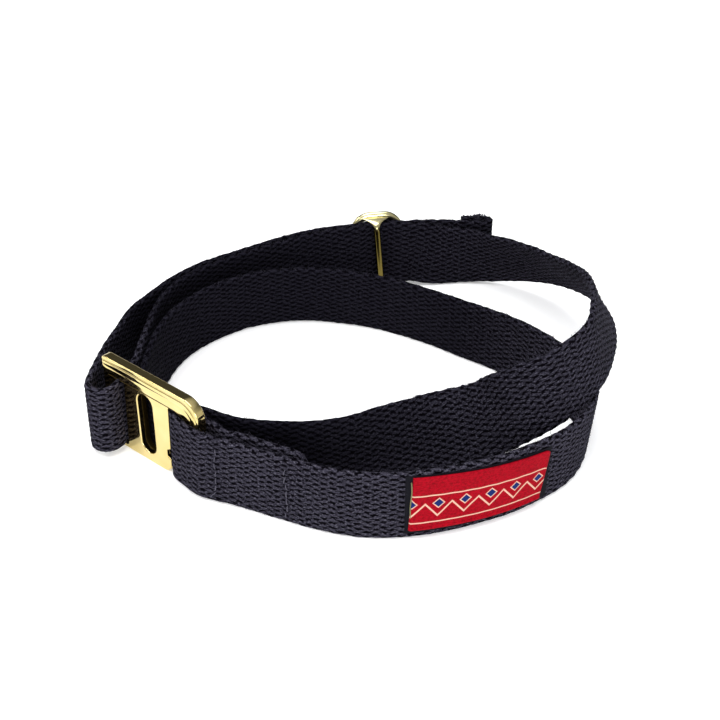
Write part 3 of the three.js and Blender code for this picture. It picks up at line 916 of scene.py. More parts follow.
@dataclass
class LooseYarn:
    """Fibre that stands off the web: short hairs all along it, and yarn ends at the raw edges."""

    route: StrapRoute
    hairs: int = 6800
    hair_radius: float = 0.07
    hair_length: tuple[float, float] = (0.3, 1.2)
    hair_taper: float = 0.4
    straight: float = 0.7
    bend: float = 0.6
    edge_share: float = 0.45
    upper_share: float = 0.3
    ends: int = 22
    end_radius: float = 0.3
    end_taper: float = 0.45
    end_length: tuple[float, float] = (0.7, 2.1)
    end_heights: tuple[float, float] = (2.0, 23.5)
    tail_share: float = 0.85
    curl: float = 0.5
    front_strays_x: tuple[float, float] = (17.0, 59.5)
    back_stray_x: float = 46.0
    stray_lengths: tuple[float, float] = (1.9, -2.2)
    knots: tuple[float, ...] = (1.0, 2.6, 3.8, 8.6, 9.6)
    fat_knots: tuple[float, ...] = (5.2, 6.1, 7.0)
    knot_lengths: tuple[float, float] = (0.7, 1.3)
    stray_radii: tuple[float, float, float] = (0.11, 0.42, 0.75)
    stray_taper: float = 0.7
    clearances: tuple[float, float, float] = (0.1, 0.4, 0.25)

    def hair_paths(self, rng: np.random.Generator) -> np.ndarray:
        """Curved hairs: start on the surface, run outwards and bend along a random direction."""
        n = self.hairs
        frames = self.route.frames(rng.uniform(1, self.route.length - 1, n))
        where = rng.uniform(0, 1, n)
        edge, upper = where < self.edge_share, where < self.upper_share
        high = np.where(edge, np.where(upper, WEB_WIDTH - 0.1, 0.1), rng.uniform(1, 24, n))
        sign = rng.choice([-1.0, 1.0], n)
        out = np.where(edge, rng.uniform(-0.8, 0.8, n), sign * WEB_THICK / 2)
        lift = np.where(edge, np.where(upper, 1.0, -0.2), 0.0)
        push = np.where(edge, rng.uniform(-0.7, 0.7, n), sign)
        start = frames.spots(out, high)
        away = frames.side * push[:, None] + frames.across * lift[:, None]
        bend = frames.heading * rng.normal(0, 1, (n, 1)) + frames.across * rng.normal(0, 0.5, (n, 1))
        t = np.linspace(0, 1, 5)[None, :, None]
        size = rng.uniform(*self.hair_length, n)[:, None, None]
        way = away[:, None] * t * self.straight + bend[:, None] * self.bend * t**2
        return start[:, None] + size * way

    def yarn_paths(self, rng: np.random.Generator) -> np.ndarray:
        """Curly yarn ends that stick out of the hem's raw end and of the sewn tail's raw end."""
        n = self.ends
        run = np.where(np.arange(n) % 2 == 0, 0.3, self.route.length - 0.3)
        frames = self.route.frames(run)
        away = np.where(run < 1, -1.0, 1.0)[:, None]
        high = np.linspace(*self.end_heights, n)[:, None]
        out = rng.uniform(-0.7, 0.7, (n, 1))
        high = np.where(run[:, None] < 1, high * self.tail_share, high)
        start = frames.spots(out, high)
        t = np.linspace(0, 1, 7)[None, :, None]
        curl = frames.across[:, None] * np.sin(4 * t + rng.uniform(0, 6, (n, 1, 1))) * self.curl
        size = rng.uniform(*self.end_length, (n, 1, 1))
        return start[:, None] + (frames.heading * away)[:, None] * size * t + curl * t

    def strays(self, rng: np.random.Generator) -> np.ndarray:
        """Single threads: two on the front run's upper edge, one on the back, and the hem's knots."""
        up, down = self.stray_lengths
        front = [(self.route.run_at_x("front_run", x), WEB_WIDTH, up) for x in self.front_strays_x]
        back = [(self.route.run_at_x("crossing_end", self.back_stray_x), 0.3, down)]
        end = self.route.length
        short, long = self.knot_lengths
        hem = [(end - d, WEB_WIDTH - 0.2, short) for d in self.knots]
        hem += [(end - d, WEB_WIDTH - 0.4, long) for d in self.fat_knots]
        runs, highs, sizes = (np.array(v) for v in zip(*front, *back, *hem))
        frames = self.route.frames(runs)
        t = np.linspace(0, 1, 9)[None, :, None]
        size = sizes[:, None, None]
        turn = rng.uniform(0, 6, (len(runs), 1, 1))
        swing = np.sin(5 * t + turn) * 0.35 * np.abs(size)
        places = frames.spots(0.0, highs)[:, None] + frames.across[:, None] * size * t
        places = places + frames.heading[:, None] * swing
        return places + frames.side[:, None] * (np.cos(5 * t + turn) * 0.4 - 0.5 * (size < 0) * t * 4)

    def build(self, material: bpy.types.Material) -> list[bpy.types.Object]:
        """Makes the hairs, the yarn ends and the stray threads, and returns the three pieces."""
        rng = np.random.default_rng(SEED + 1)
        made = [self.hair_paths(rng), self.yarn_paths(rng), self.strays(rng)]
        hairs, yarns, loose = (above_floor(*pair) for pair in zip(made, self.clearances))
        hair_radii = self.hair_radius * np.linspace(1, self.hair_taper, hairs.shape[1])
        yarn_radii = np.linspace(1, self.end_taper, yarns.shape[1]) * self.end_radius
        thick = np.repeat(self.stray_radii, [3, len(self.knots), len(self.fat_knots)])[:, None]
        loose_radii = thick * np.linspace(1, self.stray_taper, loose.shape[1])
        return [
            tube_piece("web_fuzz", hairs, hair_radii, 3, material),
            tube_piece("frayed_yarn", yarns, yarn_radii, 6, material),
            tube_piece("stray_threads", loose, loose_radii, 6, material)
        ]


@dataclass
class Label:
    """The woven label on the front run, its lower edge folded, over a strip of smooth tape."""

    route: StrapRoute
    start_x: float = 15.9
    end_x: float = 58.5
    low: float = 3.5
    height: float = 20.9
    skew: tuple[float, float] = (1.25, 2.5)
    fall: float = 0.6
    narrowing: float = 0.09
    thick: float = 0.7
    corner: float = 1.9
    thin_ends: tuple[float, float] = (0.5, 0.35)
    gap: float = 0.35
    edge: float = 0.25
    fold: float = 1.3
    fold_rise: float = 0.22
    crease: tuple[float, float] = (0.16, 0.22)
    pucker: tuple[float, float] = (0.07, 6.1)
    step: float = 0.45
    # The tape's reach past the label at left and right, and its heights: the right reach and the margins
    # above and below the label are painted shadow.
    tape_reach: tuple[float, float] = (2.3, 0.5)
    tape_heights: tuple[float, float] = (2.2, 24.9)
    tape_round: tuple[float, ...] = (0.0, 0.2, 22.7, 22.9, 45.4)
    tape_fall: float = 2.2
    tape_flat: float = 22.5
    tape_gap: float = 0.1
    tape_thick: float = 0.2
    yarn_radius: float = 0.2
    yarn_left: float = 0.55
    yarn_heights: tuple[float, float] = (22.6, 15.5)  # its top, and how far it reaches down

    def section(self) -> tuple[np.ndarray, np.ndarray]:
        """Offset from the strap's face and height: up the front, over the top fold and down the back.

        The lowest stretch stands prouder by a half round, where the edge is folded under.
        """
        r, (depth, width) = self.edge, self.crease
        high = np.linspace(r, self.height - r, 60)
        fold = np.sqrt(np.clip(1 - ((high - self.fold / 2) / (self.fold / 2)) ** 2, 0, 1))
        crease = -depth * np.exp(-(((high - self.fold) / width) ** 2))
        front = self.thick + self.fold_rise * fold + crease
        angle = np.linspace(0, np.pi, 6)[1:-1]
        half = self.thick / 2
        top_out, top_high = half + half * np.cos(angle), self.height - r + r * np.sin(angle)
        back_high = np.linspace(self.height - r, r, 6)
        low_out, low_high = half - half * np.cos(angle), r - r * np.sin(angle)
        out = np.concatenate([front, top_out, np.zeros(6), low_out])
        return out, np.concatenate([high, top_high, back_high, low_high])

    def panel(self, material: bpy.types.Material) -> bpy.types.Object:
        """Makes the label as its section carried along the front run, puckered between its stitches."""
        start, end = (self.route.run_at_x("front_run", x) for x in (self.start_x, self.end_x))
        runs = np.linspace(start, end, round((end - start) / self.step) + 1)
        frames = self.route.frames(runs)
        out, high = self.section()
        share = (runs - start) / (end - start)
        swell, length = self.pucker
        pucker = swell * np.sin(2 * np.pi * runs / length)[:, None] * np.sin(np.pi * high / self.height)
        reach, least = self.thin_ends
        slim = np.clip(np.minimum(runs - start, end - runs) / reach, least, 1)[:, None]
        short = np.clip(self.corner - (end - runs), 0, self.corner)
        drop = self.corner - np.sqrt(self.corner**2 - short**2)
        shrink = (1 - drop / self.height) * (1 - self.narrowing * share)
        rise = self.low - self.fall * share[:, None] + high * shrink[:, None]
        base = WEB_THICK / 2 + self.gap
        vertices = frames.places(-(base + out * slim + pucker * (out > self.thick * 0.9)), rise)
        skew = self.skew[0] + (self.skew[1] - self.skew[0]) * share[:, None]
        slip = skew * (high / self.height - 1)
        vertices = vertices + frames.heading[:, None] * slip[..., None]
        round_ = np.append(high, high[0])
        piece = self.ribbon("label_panel", vertices, share * (end - start), round_, material, None)
        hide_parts("label")
        flat = (self.height * MM, float(end - start) * MM)
        return piece

    def ribbon(
        self, name: str, vertices: np.ndarray, along: np.ndarray, round_: np.ndarray,
        material: bpy.types.Material, flat_from: int | None
    ) -> bpy.types.Object:
        """Makes a closed ribbon whose vertices are rings x columns x 3, with its UV places in mm."""
        rings, columns = vertices.shape[:2]
        vertices = vertices.reshape(-1, 3)
        faces, uvs = outward(vertices, grid_faces(rings, columns), grid_uvs(along, round_))
        everything = faces.tolist() + end_caps(faces, columns, rings)
        uvs = np.vstack([uvs, np.zeros((2 * columns, 2))])
        return make_piece(name, vertices, everything, material, uvs, flat_from)

    def tape(self, material: bpy.types.Material) -> bpy.types.Object:
        """Makes the smooth tape under the label, which shows as a dark strip at its left edge, and as painted
        shadow in thin margins above, below and at the right end.
        """
        start = self.route.run_at_x("front_run", self.start_x) - self.tape_reach[0]
        end = self.route.run_at_x("front_run", self.end_x) + self.tape_reach[1]
        runs = np.linspace(start, end, 70)
        frames = self.route.frames(runs)
        out = WEB_THICK / 2 + self.tape_gap + np.array([0.0, self.tape_thick, self.tape_thick, 0.0])
        high = np.repeat(self.tape_heights, 2)
        fall = self.tape_fall * (runs - start)[:, None] / (end - start) * (high > WEB_WIDTH / 2)
        vertices = frames.places(-out, high - fall)
        piece = self.ribbon("label_tape_and_shadow", vertices, runs - start, np.array(self.tape_round), material, 0)
        flat = (self.tape_flat * MM, float(end - start) * MM)
        return piece

    def edge_yarn(self, material: bpy.types.Material) -> bpy.types.Object:
        """Makes the loose olive yarn down the label's left edge."""
        t = np.linspace(0, 1, 40)
        run = self.route.run_at_x("front_run", self.start_x) - self.yarn_left + 0.18 * np.sin(7 * t)
        frames = self.route.frames(run)
        high = self.yarn_heights[0] - self.yarn_heights[1] * t
        out = -(WEB_THICK / 2 + self.gap + self.yarn_radius + 0.1)
        path = frames.spots(out, high)
        return tube_piece("label_edge_yarn", path[None], self.yarn_radius, 8, material)


def rounded_loop(corners: Sequence[tuple[float, float, float]], steps: int = 10) -> np.ndarray:
    """A closed outline whose corners are arcs.

    Each corner of radius r has its arc's centre on the bisector, r / sin(half angle) from the corner,
    and the arc runs between the two tangent points.

    Args:
        corners: x, y and radius, with the material on the left of the way round.
        steps: spans of each arc.

    Returns:
        Points, one row each.
    """
    c = np.array(corners, float)
    here, radius = c[:, :2], c[:, 2:]
    back = np.roll(here, 1, axis=0) - here
    ahead = np.roll(here, -1, axis=0) - here
    back /= np.linalg.norm(back, axis=1, keepdims=True)
    ahead /= np.linalg.norm(ahead, axis=1, keepdims=True)
    half = np.arccos(np.clip(np.einsum("ij,ij->i", back, ahead), -1, 1))[:, None] / 2
    bisector = back + ahead
    bisector /= np.linalg.norm(bisector, axis=1, keepdims=True)
    centre = here + bisector * radius / np.sin(half)
    start = here + back * radius / np.tan(half) - centre
    end = here + ahead * radius / np.tan(half) - centre
    t = np.linspace(0, 1, steps + 1)[None, :, None]
    sweep = (np.pi - 2 * half)[:, :, None]
    weight = np.sin((1 - t) * sweep), np.sin(t * sweep)
    arc = (start[:, None] * weight[0] + end[:, None] * weight[1]) / np.sin(sweep)
    return (centre[:, None] + arc).reshape(-1, 2)


def inset(loop: np.ndarray, distance: float) -> np.ndarray:
    """The outline moved into the material on its left: each point goes along its mitred normal."""
    edge = np.roll(loop, -1, axis=0) - loop
    edge /= np.linalg.norm(edge, axis=1, keepdims=True) + 1e-12
    normal = np.stack([-edge[:, 1], edge[:, 0]], 1)
    before = np.roll(normal, 1, axis=0)
    mean = normal + before
    mean /= np.linalg.norm(mean, axis=1, keepdims=True)
    stretch = np.clip(np.einsum("ij,ij->i", mean, normal), 0.5, 1)[:, None]
    return loop + mean * distance / stretch


@dataclass
class CastPlate:
    """A flat casting with openings and rolled edges, lying in its own plane."""

    outline: np.ndarray
    holes: list[np.ndarray]
    thick: float
    roll: float
    forward: float = 0.0
    roll_steps: int = 6

    def rolled_edge(self, loop: np.ndarray, first: int) -> tuple[np.ndarray, np.ndarray]:
        """The quarter-round, wall and quarter-round of one outline.

        inset = roll * (1 - cos a) and height = +-(half - roll + roll * sin a).
        """
        a = np.linspace(np.pi / 2, 0, self.roll_steps + 1)
        depth = self.roll * (1 - np.cos(a))
        height = self.thick / 2 - self.roll + self.roll * np.sin(a)
        depths = np.concatenate([depth, depth[::-1]])
        heights = np.concatenate([height, -height[::-1]]) + self.forward
        rings = [inset(loop, d) for d in depths]
        points = np.concatenate([np.c_[r, np.full(len(r), h)] for r, h in zip(rings, heights)])
        faces = grid_faces(len(depths), len(loop))[:, ::-1] + first
        return points, faces

    def flats(self, loops: list[np.ndarray], starts: list[int], rings: int) -> list[list[int]]:
        """Triangles of the front and the back between the rolled edges."""
        flat = np.concatenate([inset(loop, self.roll) for loop in loops])
        sizes = [len(loop) for loop in loops]
        ends = np.cumsum(sizes)
        edges = [(int(e - n + k), int(e - n + (k + 1) % n)) for n, e in zip(sizes, ends) for k in range(n)]
        found = delaunay_2d_cdt([Vector(p) for p in flat], edges, [], 1, 1e-6)
        points = np.array([tuple(v) for v in found[0]])
        origin = np.array([o[0] for o in found[3]])
        triangles = np.array([f for f in found[2] if len(f) == 3])
        middle = points[triangles].mean(axis=1)
        open_ = np.zeros(len(triangles), bool)
        for hole in loops[1:]:
            open_ |= inside(middle, inset(hole, self.roll))
        kept = triangles[~open_]
        which = np.searchsorted(ends, origin, side="right")
        place = origin - (ends - sizes)[which]
        front = np.array(starts)[which] + place
        back = front + np.array(sizes)[which] * (rings - 1)
        return front[kept].tolist() + back[kept][:, ::-1].tolist()

    def mesh(self, first: int = 0) -> tuple[np.ndarray, list[list[int]], list[list[int]]]:
        """Vertices as x, y and forward, the smooth faces and the flat ones, numbered from the first."""
        loops = [self.outline, *self.holes]
        points, smooth, starts = [], [], []
        count = first
        for loop in loops:
            made, faces = self.rolled_edge(loop, count)
            starts.append(count)
            points.append(made)
            smooth.extend(faces.tolist())
            count += len(made)
        return np.concatenate(points), smooth, self.flats(loops, starts, 2 * (self.roll_steps + 1))


def inside(points: np.ndarray, loop: np.ndarray) -> np.ndarray:
    """Which points lie in the loop: an odd number of its edges crosses a ray to the right."""
    x, y = points[:, :1], points[:, 1:]
    a, b = loop, np.roll(loop, -1, axis=0)
    crosses = (a[:, 1] > y) != (b[:, 1] > y)
    rise = np.where(b[:, 1] == a[:, 1], 1e-12, b[:, 1] - a[:, 1])
    at = a[:, 0] + (y - a[:, 1]) * (b[:, 0] - a[:, 0]) / rise
    return (crosses & (x < at)).sum(axis=1) % 2 == 1


def stand_up(local: np.ndarray, x: float, y: float, turn: float, lean: float) -> np.ndarray:
    """Stands a flat shape on its lower edge, tipped back by its lean and turned about the vertical.

    Args:
        local: along, up and forward, in mm.
        x: place of the shape's origin.
        y: place of the shape's origin.
        turn: degrees about the vertical.
        lean: degrees that its top tips back.

    Returns:
        Places in the tables' mm.
    """
    tip, c, s = math.radians(lean), math.cos(math.radians(turn)), math.sin(math.radians(turn))
    along, up, forward = local.T
    back = up * math.sin(tip) - forward * math.cos(tip)
    z = up * math.cos(tip) + forward * math.sin(tip)
    return np.stack([x + along * c - back * s, y + along * s + back * c, z], 1)


def arc(centre: tuple[float, float], radius: float, start: float, end: float, count: int) -> np.ndarray:
    """Points of an arc between two angles in degrees, without its last point."""
    a = np.radians(np.linspace(start, end, count + 1)[:-1])
    return np.stack([centre[0] + radius * np.cos(a), centre[1] + radius * np.sin(a)], 1)


def line(start: tuple[float, float], end: tuple[float, float], count: int) -> np.ndarray:
    """Points from start to end, without the last one."""
    t = np.linspace(0, 1, count + 1)[:-1, None]
    return np.array(start) * (1 - t) + np.array(end) * t


@dataclass
class HeavyRail:
    """The buckle's thick top bar, which turns down over the shoulder and thins into the arm."""

    length: float
    height: float
    low: float
    shoulder: float
    thick: float = 3.5
    roll: float = 0.45
    top_radius: float = 2.0
    end_radius: float = 3.8
    straight_to: float = 33.0
    arm_width: float = 3.2
    arm_end: float = 14.0
    round_off: float = 1.2
    turn_pull: tuple[float, float] = (3.0, 3.4)
    seam_radius: float = 0.17
    seam_offset: tuple[float, float] = (0.3, 0.55)
    end_share: float = 0.3
    dome: float = 0.12
    grooves: tuple[tuple[float, float, float], ...] = ((0.28, 0.2, 0.045), (0.16, 0.55, 0.09))

    def edges(self) -> tuple[np.ndarray, np.ndarray]:
        """The outer and the inner edge, paired point by point from the left end to the arm's end.

        The inner edge turns down in the cubic Bezier curve
        (1-t)^3 a + 3 (1-t)^2 t b + 3 (1-t) t^2 c + t^3 d.
        """
        right, top = self.length, self.height
        r, e, big = self.top_radius, self.end_radius, self.shoulder
        outer = np.concatenate([
            arc((r, top - r), r, 180, 90, 14), line((r, top), (right - big, top), 24),
            arc((right - big, top - big), big, 90, 0, 28), line((right, top - big), (right, self.arm_end), 9)
        ])
        t = np.linspace(0, 1, 37)[:-1, None]
        inner_x = right - self.arm_width
        before, after = self.turn_pull
        a, b = np.array([self.straight_to, self.low]), np.array([inner_x - before, self.low])
        c, d = np.array([inner_x, self.low - after]), np.array([inner_x, self.arm_end])
        turn = (1 - t) ** 3 * a + 3 * (1 - t) ** 2 * t * b + 3 * (1 - t) * t**2 * c + t**3 * d
        inner = np.concatenate([
            arc((e, self.low + e), e, 180, 270, 14), line((e, self.low), (self.straight_to, self.low), 24),
            turn, np.array([[inner_x, self.arm_end]])
        ])
        return outer, inner

    def seam(self, forward: float) -> tuple[np.ndarray, list[list[int]], np.ndarray]:
        """A thin line just below the rail, on the plate: a tube along the rail's lower edge, painted shade
        where the rail meets the plate.
        """
        inner = self.edges()[1][12:-8]
        path = np.c_[inner - np.array(self.seam_offset), np.full(len(inner), forward)]
        return tubes(path[None], np.full((1, len(path)), self.seam_radius), 8)

    def section(self) -> tuple[np.ndarray, np.ndarray, np.ndarray]:
        """Fixed inset, share of the width, and forward place of each point round the section.

        front = half + dome sin(pi g) - depth exp(-((g - place) / width)^2) for each groove, where g is
        the share across the face: a slight dome with a narrow and a shallow groove.
        """
        half, r = self.thick / 2, self.roll
        g = np.linspace(0, 1, 47)[1:-1]
        front = half + self.dome * np.sin(np.pi * g)
        for deep, place, width in self.grooves:
            front = front - deep * np.exp(-(((g - place) / width) ** 2))
        a = np.linspace(0, np.pi / 2, 7)
        depth, rise = r * (1 - np.cos(a)), half - r + r * np.sin(a)
        zero, one = np.zeros(len(a)), np.ones(len(a))
        near = np.concatenate([depth, r * (1 - 2 * g), -depth[::-1], -depth, depth[::-1]])
        share = np.concatenate([zero, g, one, one, zero])
        forward = np.concatenate([rise, front, rise[::-1], -rise, -rise[::-1]])
        return near, share, forward

    def mesh(self) -> tuple[np.ndarray, list[list[int]]]:
        """The rail's vertices as along, up and forward, and its faces."""
        outer, inner = self.edges()
        near, share, forward = self.section()
        span = inner - outer
        width = np.linalg.norm(span, axis=1, keepdims=True)
        inset_ = near + share * width
        flat = outer[:, None] + (span / width)[:, None] * inset_[..., None]
        middle = (outer[:, 0] + inner[:, 0]) / 2
        left = 1 - np.clip(middle / self.round_off, 0, 1)
        squash = self.end_share + (1 - self.end_share) * np.sqrt(1 - left**2)
        points = np.concatenate([flat, (forward * squash[:, None])[..., None]], -1)
        vertices, columns = points.reshape(-1, 3), len(near)
        faces, _ = outward(vertices, grid_faces(len(outer), columns))
        return vertices, faces.tolist() + end_caps(faces, columns, len(outer))


@dataclass
class HookBuckle:
    """Hook buckle: a plate with two slots, a heavy rail, and the arm that takes the sewn loop."""

    length: float = 46.3
    height: float = 34.0
    thick: float = 2.2
    rail_low: float = 27.5
    corner: float = 3.6
    shoulder: float = 6.9
    plate_roll: float = 0.45
    under_rail: tuple[float, float] = (0.3, 0.5)
    strap_slot: tuple[float, float] = (5.0, 10.0)
    slot_radius: float = 0.8
    body_slot: tuple[float, float, float, float] = (17.2, 24.4, 3.4, 26.2)
    slot_lean: float = 1.0
    hook: tuple[float, float] = (31.4, 43.0)
    hook_top: float = 26.8
    arm_foot: float = 1.2
    foot: float = 1.5
    notch: tuple[float, float, float] = (1.7, 5.6, 9.8)
    notch_radius: float = 0.5
    collar_width: float = 1.1
    collar_thick: float = 2.2
    collar_roll: float = 0.3
    collar_overlap: float = 0.4

    def plate(self) -> CastPlate:
        """The body, its two slots, the opening for the sewn loop and the notch beside it."""
        start, end = self.hook
        deep, low, high = self.notch
        n = self.notch_radius
        right, top = self.length - self.under_rail[0], self.height - self.under_rail[0]
        outline = rounded_loop([
            (0, 0, 2.5), (start, 0, 3.4), (start, low, n), (start - deep, low + 0.9, n),
            (start - deep, high - 0.9, n), (start, high, n), (start, self.hook_top, 1.2),
            (end, self.hook_top, 4.0), (end, self.arm_foot, 0.9), (right, self.arm_foot, 0.9),
            (right, top, self.shoulder), (0, self.height - self.under_rail[1], self.corner)
        ])
        left, right = self.strap_slot
        s = self.slot_radius
        slot = rounded_loop([
            (left, self.foot, s), (left, self.rail_low, s), (right, self.rail_low, s), (right, self.foot, s)
        ])
        x0, x1, y0, y1 = self.body_slot
        r = (x1 - x0) / 2 - 0.05
        lean = self.slot_lean
        body = rounded_loop([(x0, y0, r), (x0 - lean, y1, r), (x1 - lean, y1, r), (x1, y0, r)], 14)
        return CastPlate(outline, [slot, body], self.thick, self.plate_roll)

    def collar(self, plate: CastPlate) -> CastPlate:
        """The thickened rim round the body slot on the plate's far side, in dark brass as painted shade on
        the slot's walls.
        """
        slot = plate.holes[1]
        middle = self.collar_thick / 2 + self.thick / 2 - self.collar_overlap
        outer = inset(slot, self.collar_width)[::-1]
        return CastPlate(outer, [slot], self.collar_thick, self.collar_roll, -middle)

    def build(self, material: bpy.types.Material, recess_shade: bpy.types.Material) -> bpy.types.Object:
        """Makes the buckle in its place, with its collar and the line under its rail in dark brass, painted
        shade.
        """
        plate, rail = self.plate(), HeavyRail(self.length, self.height, self.rail_low, self.shoulder)
        body, body_smooth, body_flat = plate.mesh()
        bar, bar_faces = rail.mesh()
        smooth = body_smooth + [[c + len(body) for c in face] for face in bar_faces]
        made = self.stood("buckle", [body, bar], smooth, body_flat, material)
        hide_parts("hook_buckle")
        seam, seam_faces, _ = rail.seam(self.thick / 2)
        rim, rim_smooth, rim_flat = self.collar(plate).mesh(len(seam))
        self.stood("painted_shade_recesses", [seam, rim], seam_faces + rim_smooth, rim_flat, recess_shade)
        return made

    def stood(
        self, name: str, vertices: list[np.ndarray], smooth: list, flat: list, material: bpy.types.Material
    ) -> bpy.types.Object:
        """Makes a piece from vertices, smooth faces and flat faces, and stands it in the buckle's place."""
        places = stand_up(np.vstack(vertices), PLATE_X, PLATE_Y, PLATE_TURN, PLATE_LEAN)
        return make_piece(name, places, smooth + flat, material, flat_from=len(smooth))


@dataclass
class Slide:
    """Three-bar slide: a cast ring with a rounded section and a bowed centre bar that flares at its ends."""

    length: float = 22.0
    height: float = 30.6
    side: float = 2.4
    foot: float = 1.3
    rail: float = 3.5
    bar: float = 2.6
    thick: float = 2.6
    corner: float = 8.2
    bow: float = 5.0
    bar_depth: float = 0.95
    flare: float = 6.4
    slant: float = 1.9
    shift: float = -0.9
    sides: int = 16

    def ring(self) -> tuple[np.ndarray, np.ndarray]:
        """The outer ring: an ellipse carried round a rounded rectangle.

        Its half width goes from half a rail on the level stretches to half a bar on the upright ones.
        """
        a, b = self.length / 2 - self.side / 2, self.foot / 2
        top = self.height - self.rail / 2
        r = self.corner - self.side / 2
        loop = rounded_loop([(-a, b, r), (a, b, r), (a, top, r), (-a, top, r)], 14)
        ahead, back = np.roll(loop, -1, axis=0), np.roll(loop, 1, axis=0)
        heading = (ahead - back) / np.linalg.norm(ahead - back, axis=1, keepdims=True)
        normal = np.stack([heading[:, 1], -heading[:, 0]], 1)
        level = self.foot + (self.rail - self.foot) * (loop[:, 1] / top) ** 2
        half = (level + (self.side - level) * np.abs(heading[:, 1]) ** 2)[:, None] / 2
        angle = 2 * np.pi * np.arange(self.sides) / self.sides
        flat = loop[:, None] + normal[:, None] * (half * np.cos(angle))[..., None]
        forward = np.broadcast_to(self.thick / 2 * np.sin(angle), flat.shape[:2])
        points = np.concatenate([flat, forward[..., None]], -1)
        closed = np.concatenate([points, points[:1]])
        faces = grid_faces(len(closed), self.sides) % (len(points) * self.sides)
        return points.reshape(-1, 3), faces

    def centre_bar(self) -> tuple[np.ndarray, np.ndarray]:
        """The centre bar: an ellipse carried from rail to rail, bowed forward, wide where it joins.

        forward = bow * (1 - |2t-1|^12) and half width = bar / 2 + flare * |2t-1|^16.
        """
        t = np.linspace(0, 1, 60)
        edge = np.abs(2 * t - 1)
        high = self.foot / 2 + t * (self.height - self.foot / 2 - self.rail / 2)
        forward = self.bow * (1 - edge**12)
        half = self.bar / 2 + self.flare * edge**16
        angle = 2 * np.pi * np.arange(self.sides) / self.sides
        x = half[:, None] * np.cos(angle) + (self.slant * (0.5 - t))[:, None]
        f = forward[:, None] + self.thick / 2 * self.bar_depth * np.sin(angle)
        points = np.stack([x, np.broadcast_to(high[:, None], x.shape), f], -1)
        return points.reshape(-1, 3), grid_faces(len(t), self.sides)

    def build(self, material: bpy.types.Material) -> bpy.types.Object:
        """Makes the slide and stands it in its place."""
        (ring, ring_faces), (bar, bar_faces) = self.ring(), self.centre_bar()
        ring_faces, _ = outward(ring, ring_faces)
        bar_faces, _ = outward(bar, bar_faces)
        bar_all = bar_faces.tolist() + end_caps(bar_faces, self.sides, len(bar) // self.sides)
        faces = ring_faces.tolist() + [[c + len(ring) for c in face] for face in bar_all]
        whole = np.vstack([ring, bar]) + np.array([self.shift, 0.0, 0.0])
        places = stand_up(whole, SLIDE_X, SLIDE_Y, SLIDE_TURN, SLIDE_LEAN)
        made = make_piece("three_bar_slide", places, faces, material)
        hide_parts("slide")
        return made


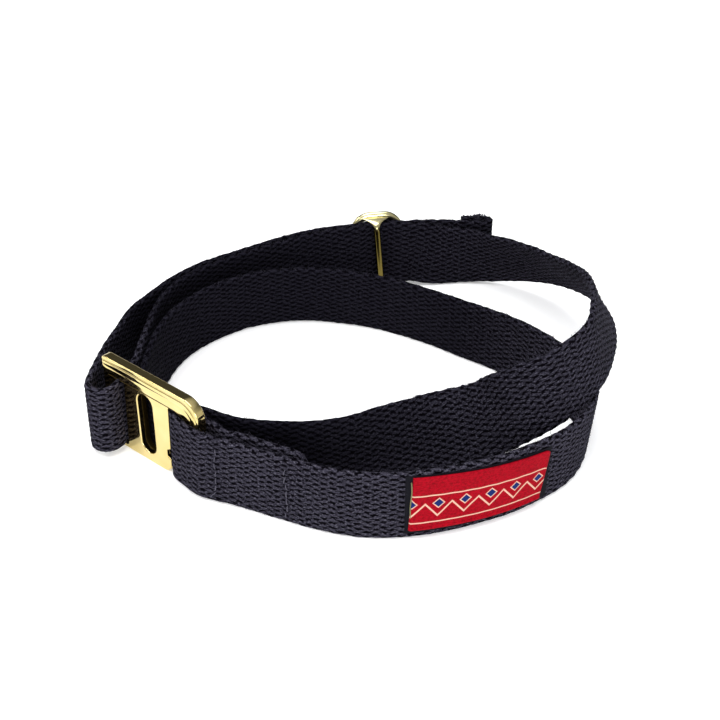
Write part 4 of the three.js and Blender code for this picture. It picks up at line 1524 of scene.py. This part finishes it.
@dataclass
class Studio:
    """White floor, soft light from above and the front, and the camera of the photograph."""

    elevation: float = 34.0
    lens: float = 65.0
    distance: float = 0.489
    sensor: float = 36.0
    floor_size: float = 6.0
    floor_z: float = -0.00005
    aim: tuple[float, float, float] = (-0.0007, 0.01612, 0.00009)
    band_half: float = 0.12
    band_fade: float = 0.25
    front_from: float = 0.3
    front_rise: float = 1.8
    least_light: float = 0.1
    room_strength: float = 0.75

    def floor(self) -> None:
        """Lays the floor just under the belt."""
        half, z = self.floor_size / 2, self.floor_z
        mesh = bpy.data.meshes.new("floor")
        corners = [(-half, -half, z), (half, -half, z), (half, half, z), (-half, half, z)]
        mesh.from_pydata(corners, [], [(0, 1, 2, 3)])
        mesh.materials.append(PaleFloor().material())
        new_object("floor", mesh)

    def light(self, name: str, place: tuple[float, float, float], size: float, power: float) -> None:
        """Hangs one square softbox that faces the belt."""
        data = bpy.data.lights.new(name, "AREA")
        data.shape = "SQUARE"
        data.size = size
        data.energy = power
        made = new_object(name, data)
        made.location = place
        made.rotation_euler = (-Vector(place)).to_track_quat("-Z", "Y").to_euler()

    def surroundings(self) -> None:
        """Lights the room: bright overhead, with a darker band low behind the belt for the metal."""
        world = bpy.data.worlds.new("studio")
        bpy.context.scene.world = world
        world.use_nodes = True
        tree = world.node_tree
        tree.nodes.clear()
        place = add(tree, "ShaderNodeTexCoord").out("Generated")
        parts = add(tree, "ShaderNodeSeparateXYZ", {0: place})
        y, z = parts.out(1), parts.out(2)
        band = ((abs(z - 0.5) - self.band_half) / self.band_fade).at_least(0.0)
        front = ((self.front_from - y) * self.front_rise).at_least(0.0)
        lit = (band + front).at_most(1.0).at_least(self.least_light) * self.room_strength
        back = add(tree, "ShaderNodeBackground", {"Color": linear("fbfcff"), "Strength": lit})
        add(tree, "ShaderNodeOutputWorld", {"Surface": back})

    def camera(self) -> None:
        """Sets the camera: it looks at the aim from straight in front, at the photograph's height."""
        tilt = math.radians(self.elevation)
        data = bpy.data.cameras.new("camera")
        data.lens = self.lens
        data.sensor_width = self.sensor
        data.clip_start, data.clip_end = 0.01, 20.0
        made = new_object("camera", data)
        back = Vector((0, -math.cos(tilt), math.sin(tilt))) * self.distance
        made.location = Vector(self.aim) + back
        made.rotation_euler = (math.pi / 2 - tilt, 0, 0)
        bpy.context.scene.camera = made

    def build(self) -> None:
        """Makes the floor, the lights, the surroundings and the camera."""
        self.floor()
        self.light("overhead", (-0.1, -0.1, 1.3), 1.1, 16.0)
        self.light("low_front", (0.25, -1.5, 0.42), 0.5, 11.0)
        self.light("left_box", (-1.1, -0.1, 0.9), 0.45, 5.0)
        self.surroundings()
        self.camera()
        view = bpy.context.scene.view_settings
        view.view_transform = "Standard"
        log.info("studio ready")


def main() -> None:
    """Builds the belt's pieces in order, then the studio."""
    logging.basicConfig(level=logging.INFO, format="%(name)s: %(message)s")
    route = StrapRoute(STRAP_ROWS)
    log.info("strap length %.1f mm", route.length)
    Webbing(route).build(CottonWebbing().material())
    Stitching(route).build(SpunThread("navy_stitch_thread", "605e6b", "2a2833").material())
    LooseYarn(route).build(SpunThread("loose_cotton_yarn", "3b3944", "1a1920").material())
    label = Label(route)
    label.panel(WovenSatin().material())
    label.tape(SmoothTape().material())
    label.edge_yarn(SpunThread("olive_edge_yarn", "8d8a62", "4a4a30").material())
    brass = PolishedBrass().material()
    # Dark brown brass: painted shade on the slot's walls and under the rail.
    recess_shade = PolishedBrass("painted_shade_brass", "5c4c28", "42361c", 0.4).material()
    HookBuckle().build(brass, recess_shade)
    # The slide's brass: painted light near white on its top rail, and dark olive painted shade on the bar and
    # sides below.
    top_lit = PolishedBrass("top_lit_brass", "fff6c4", "685c2e", 0.2, lit_from=25.0, lit_over=4.0)
    Slide().build(top_lit.material())
    Studio().build()


if __name__ == "__main__":
    main()
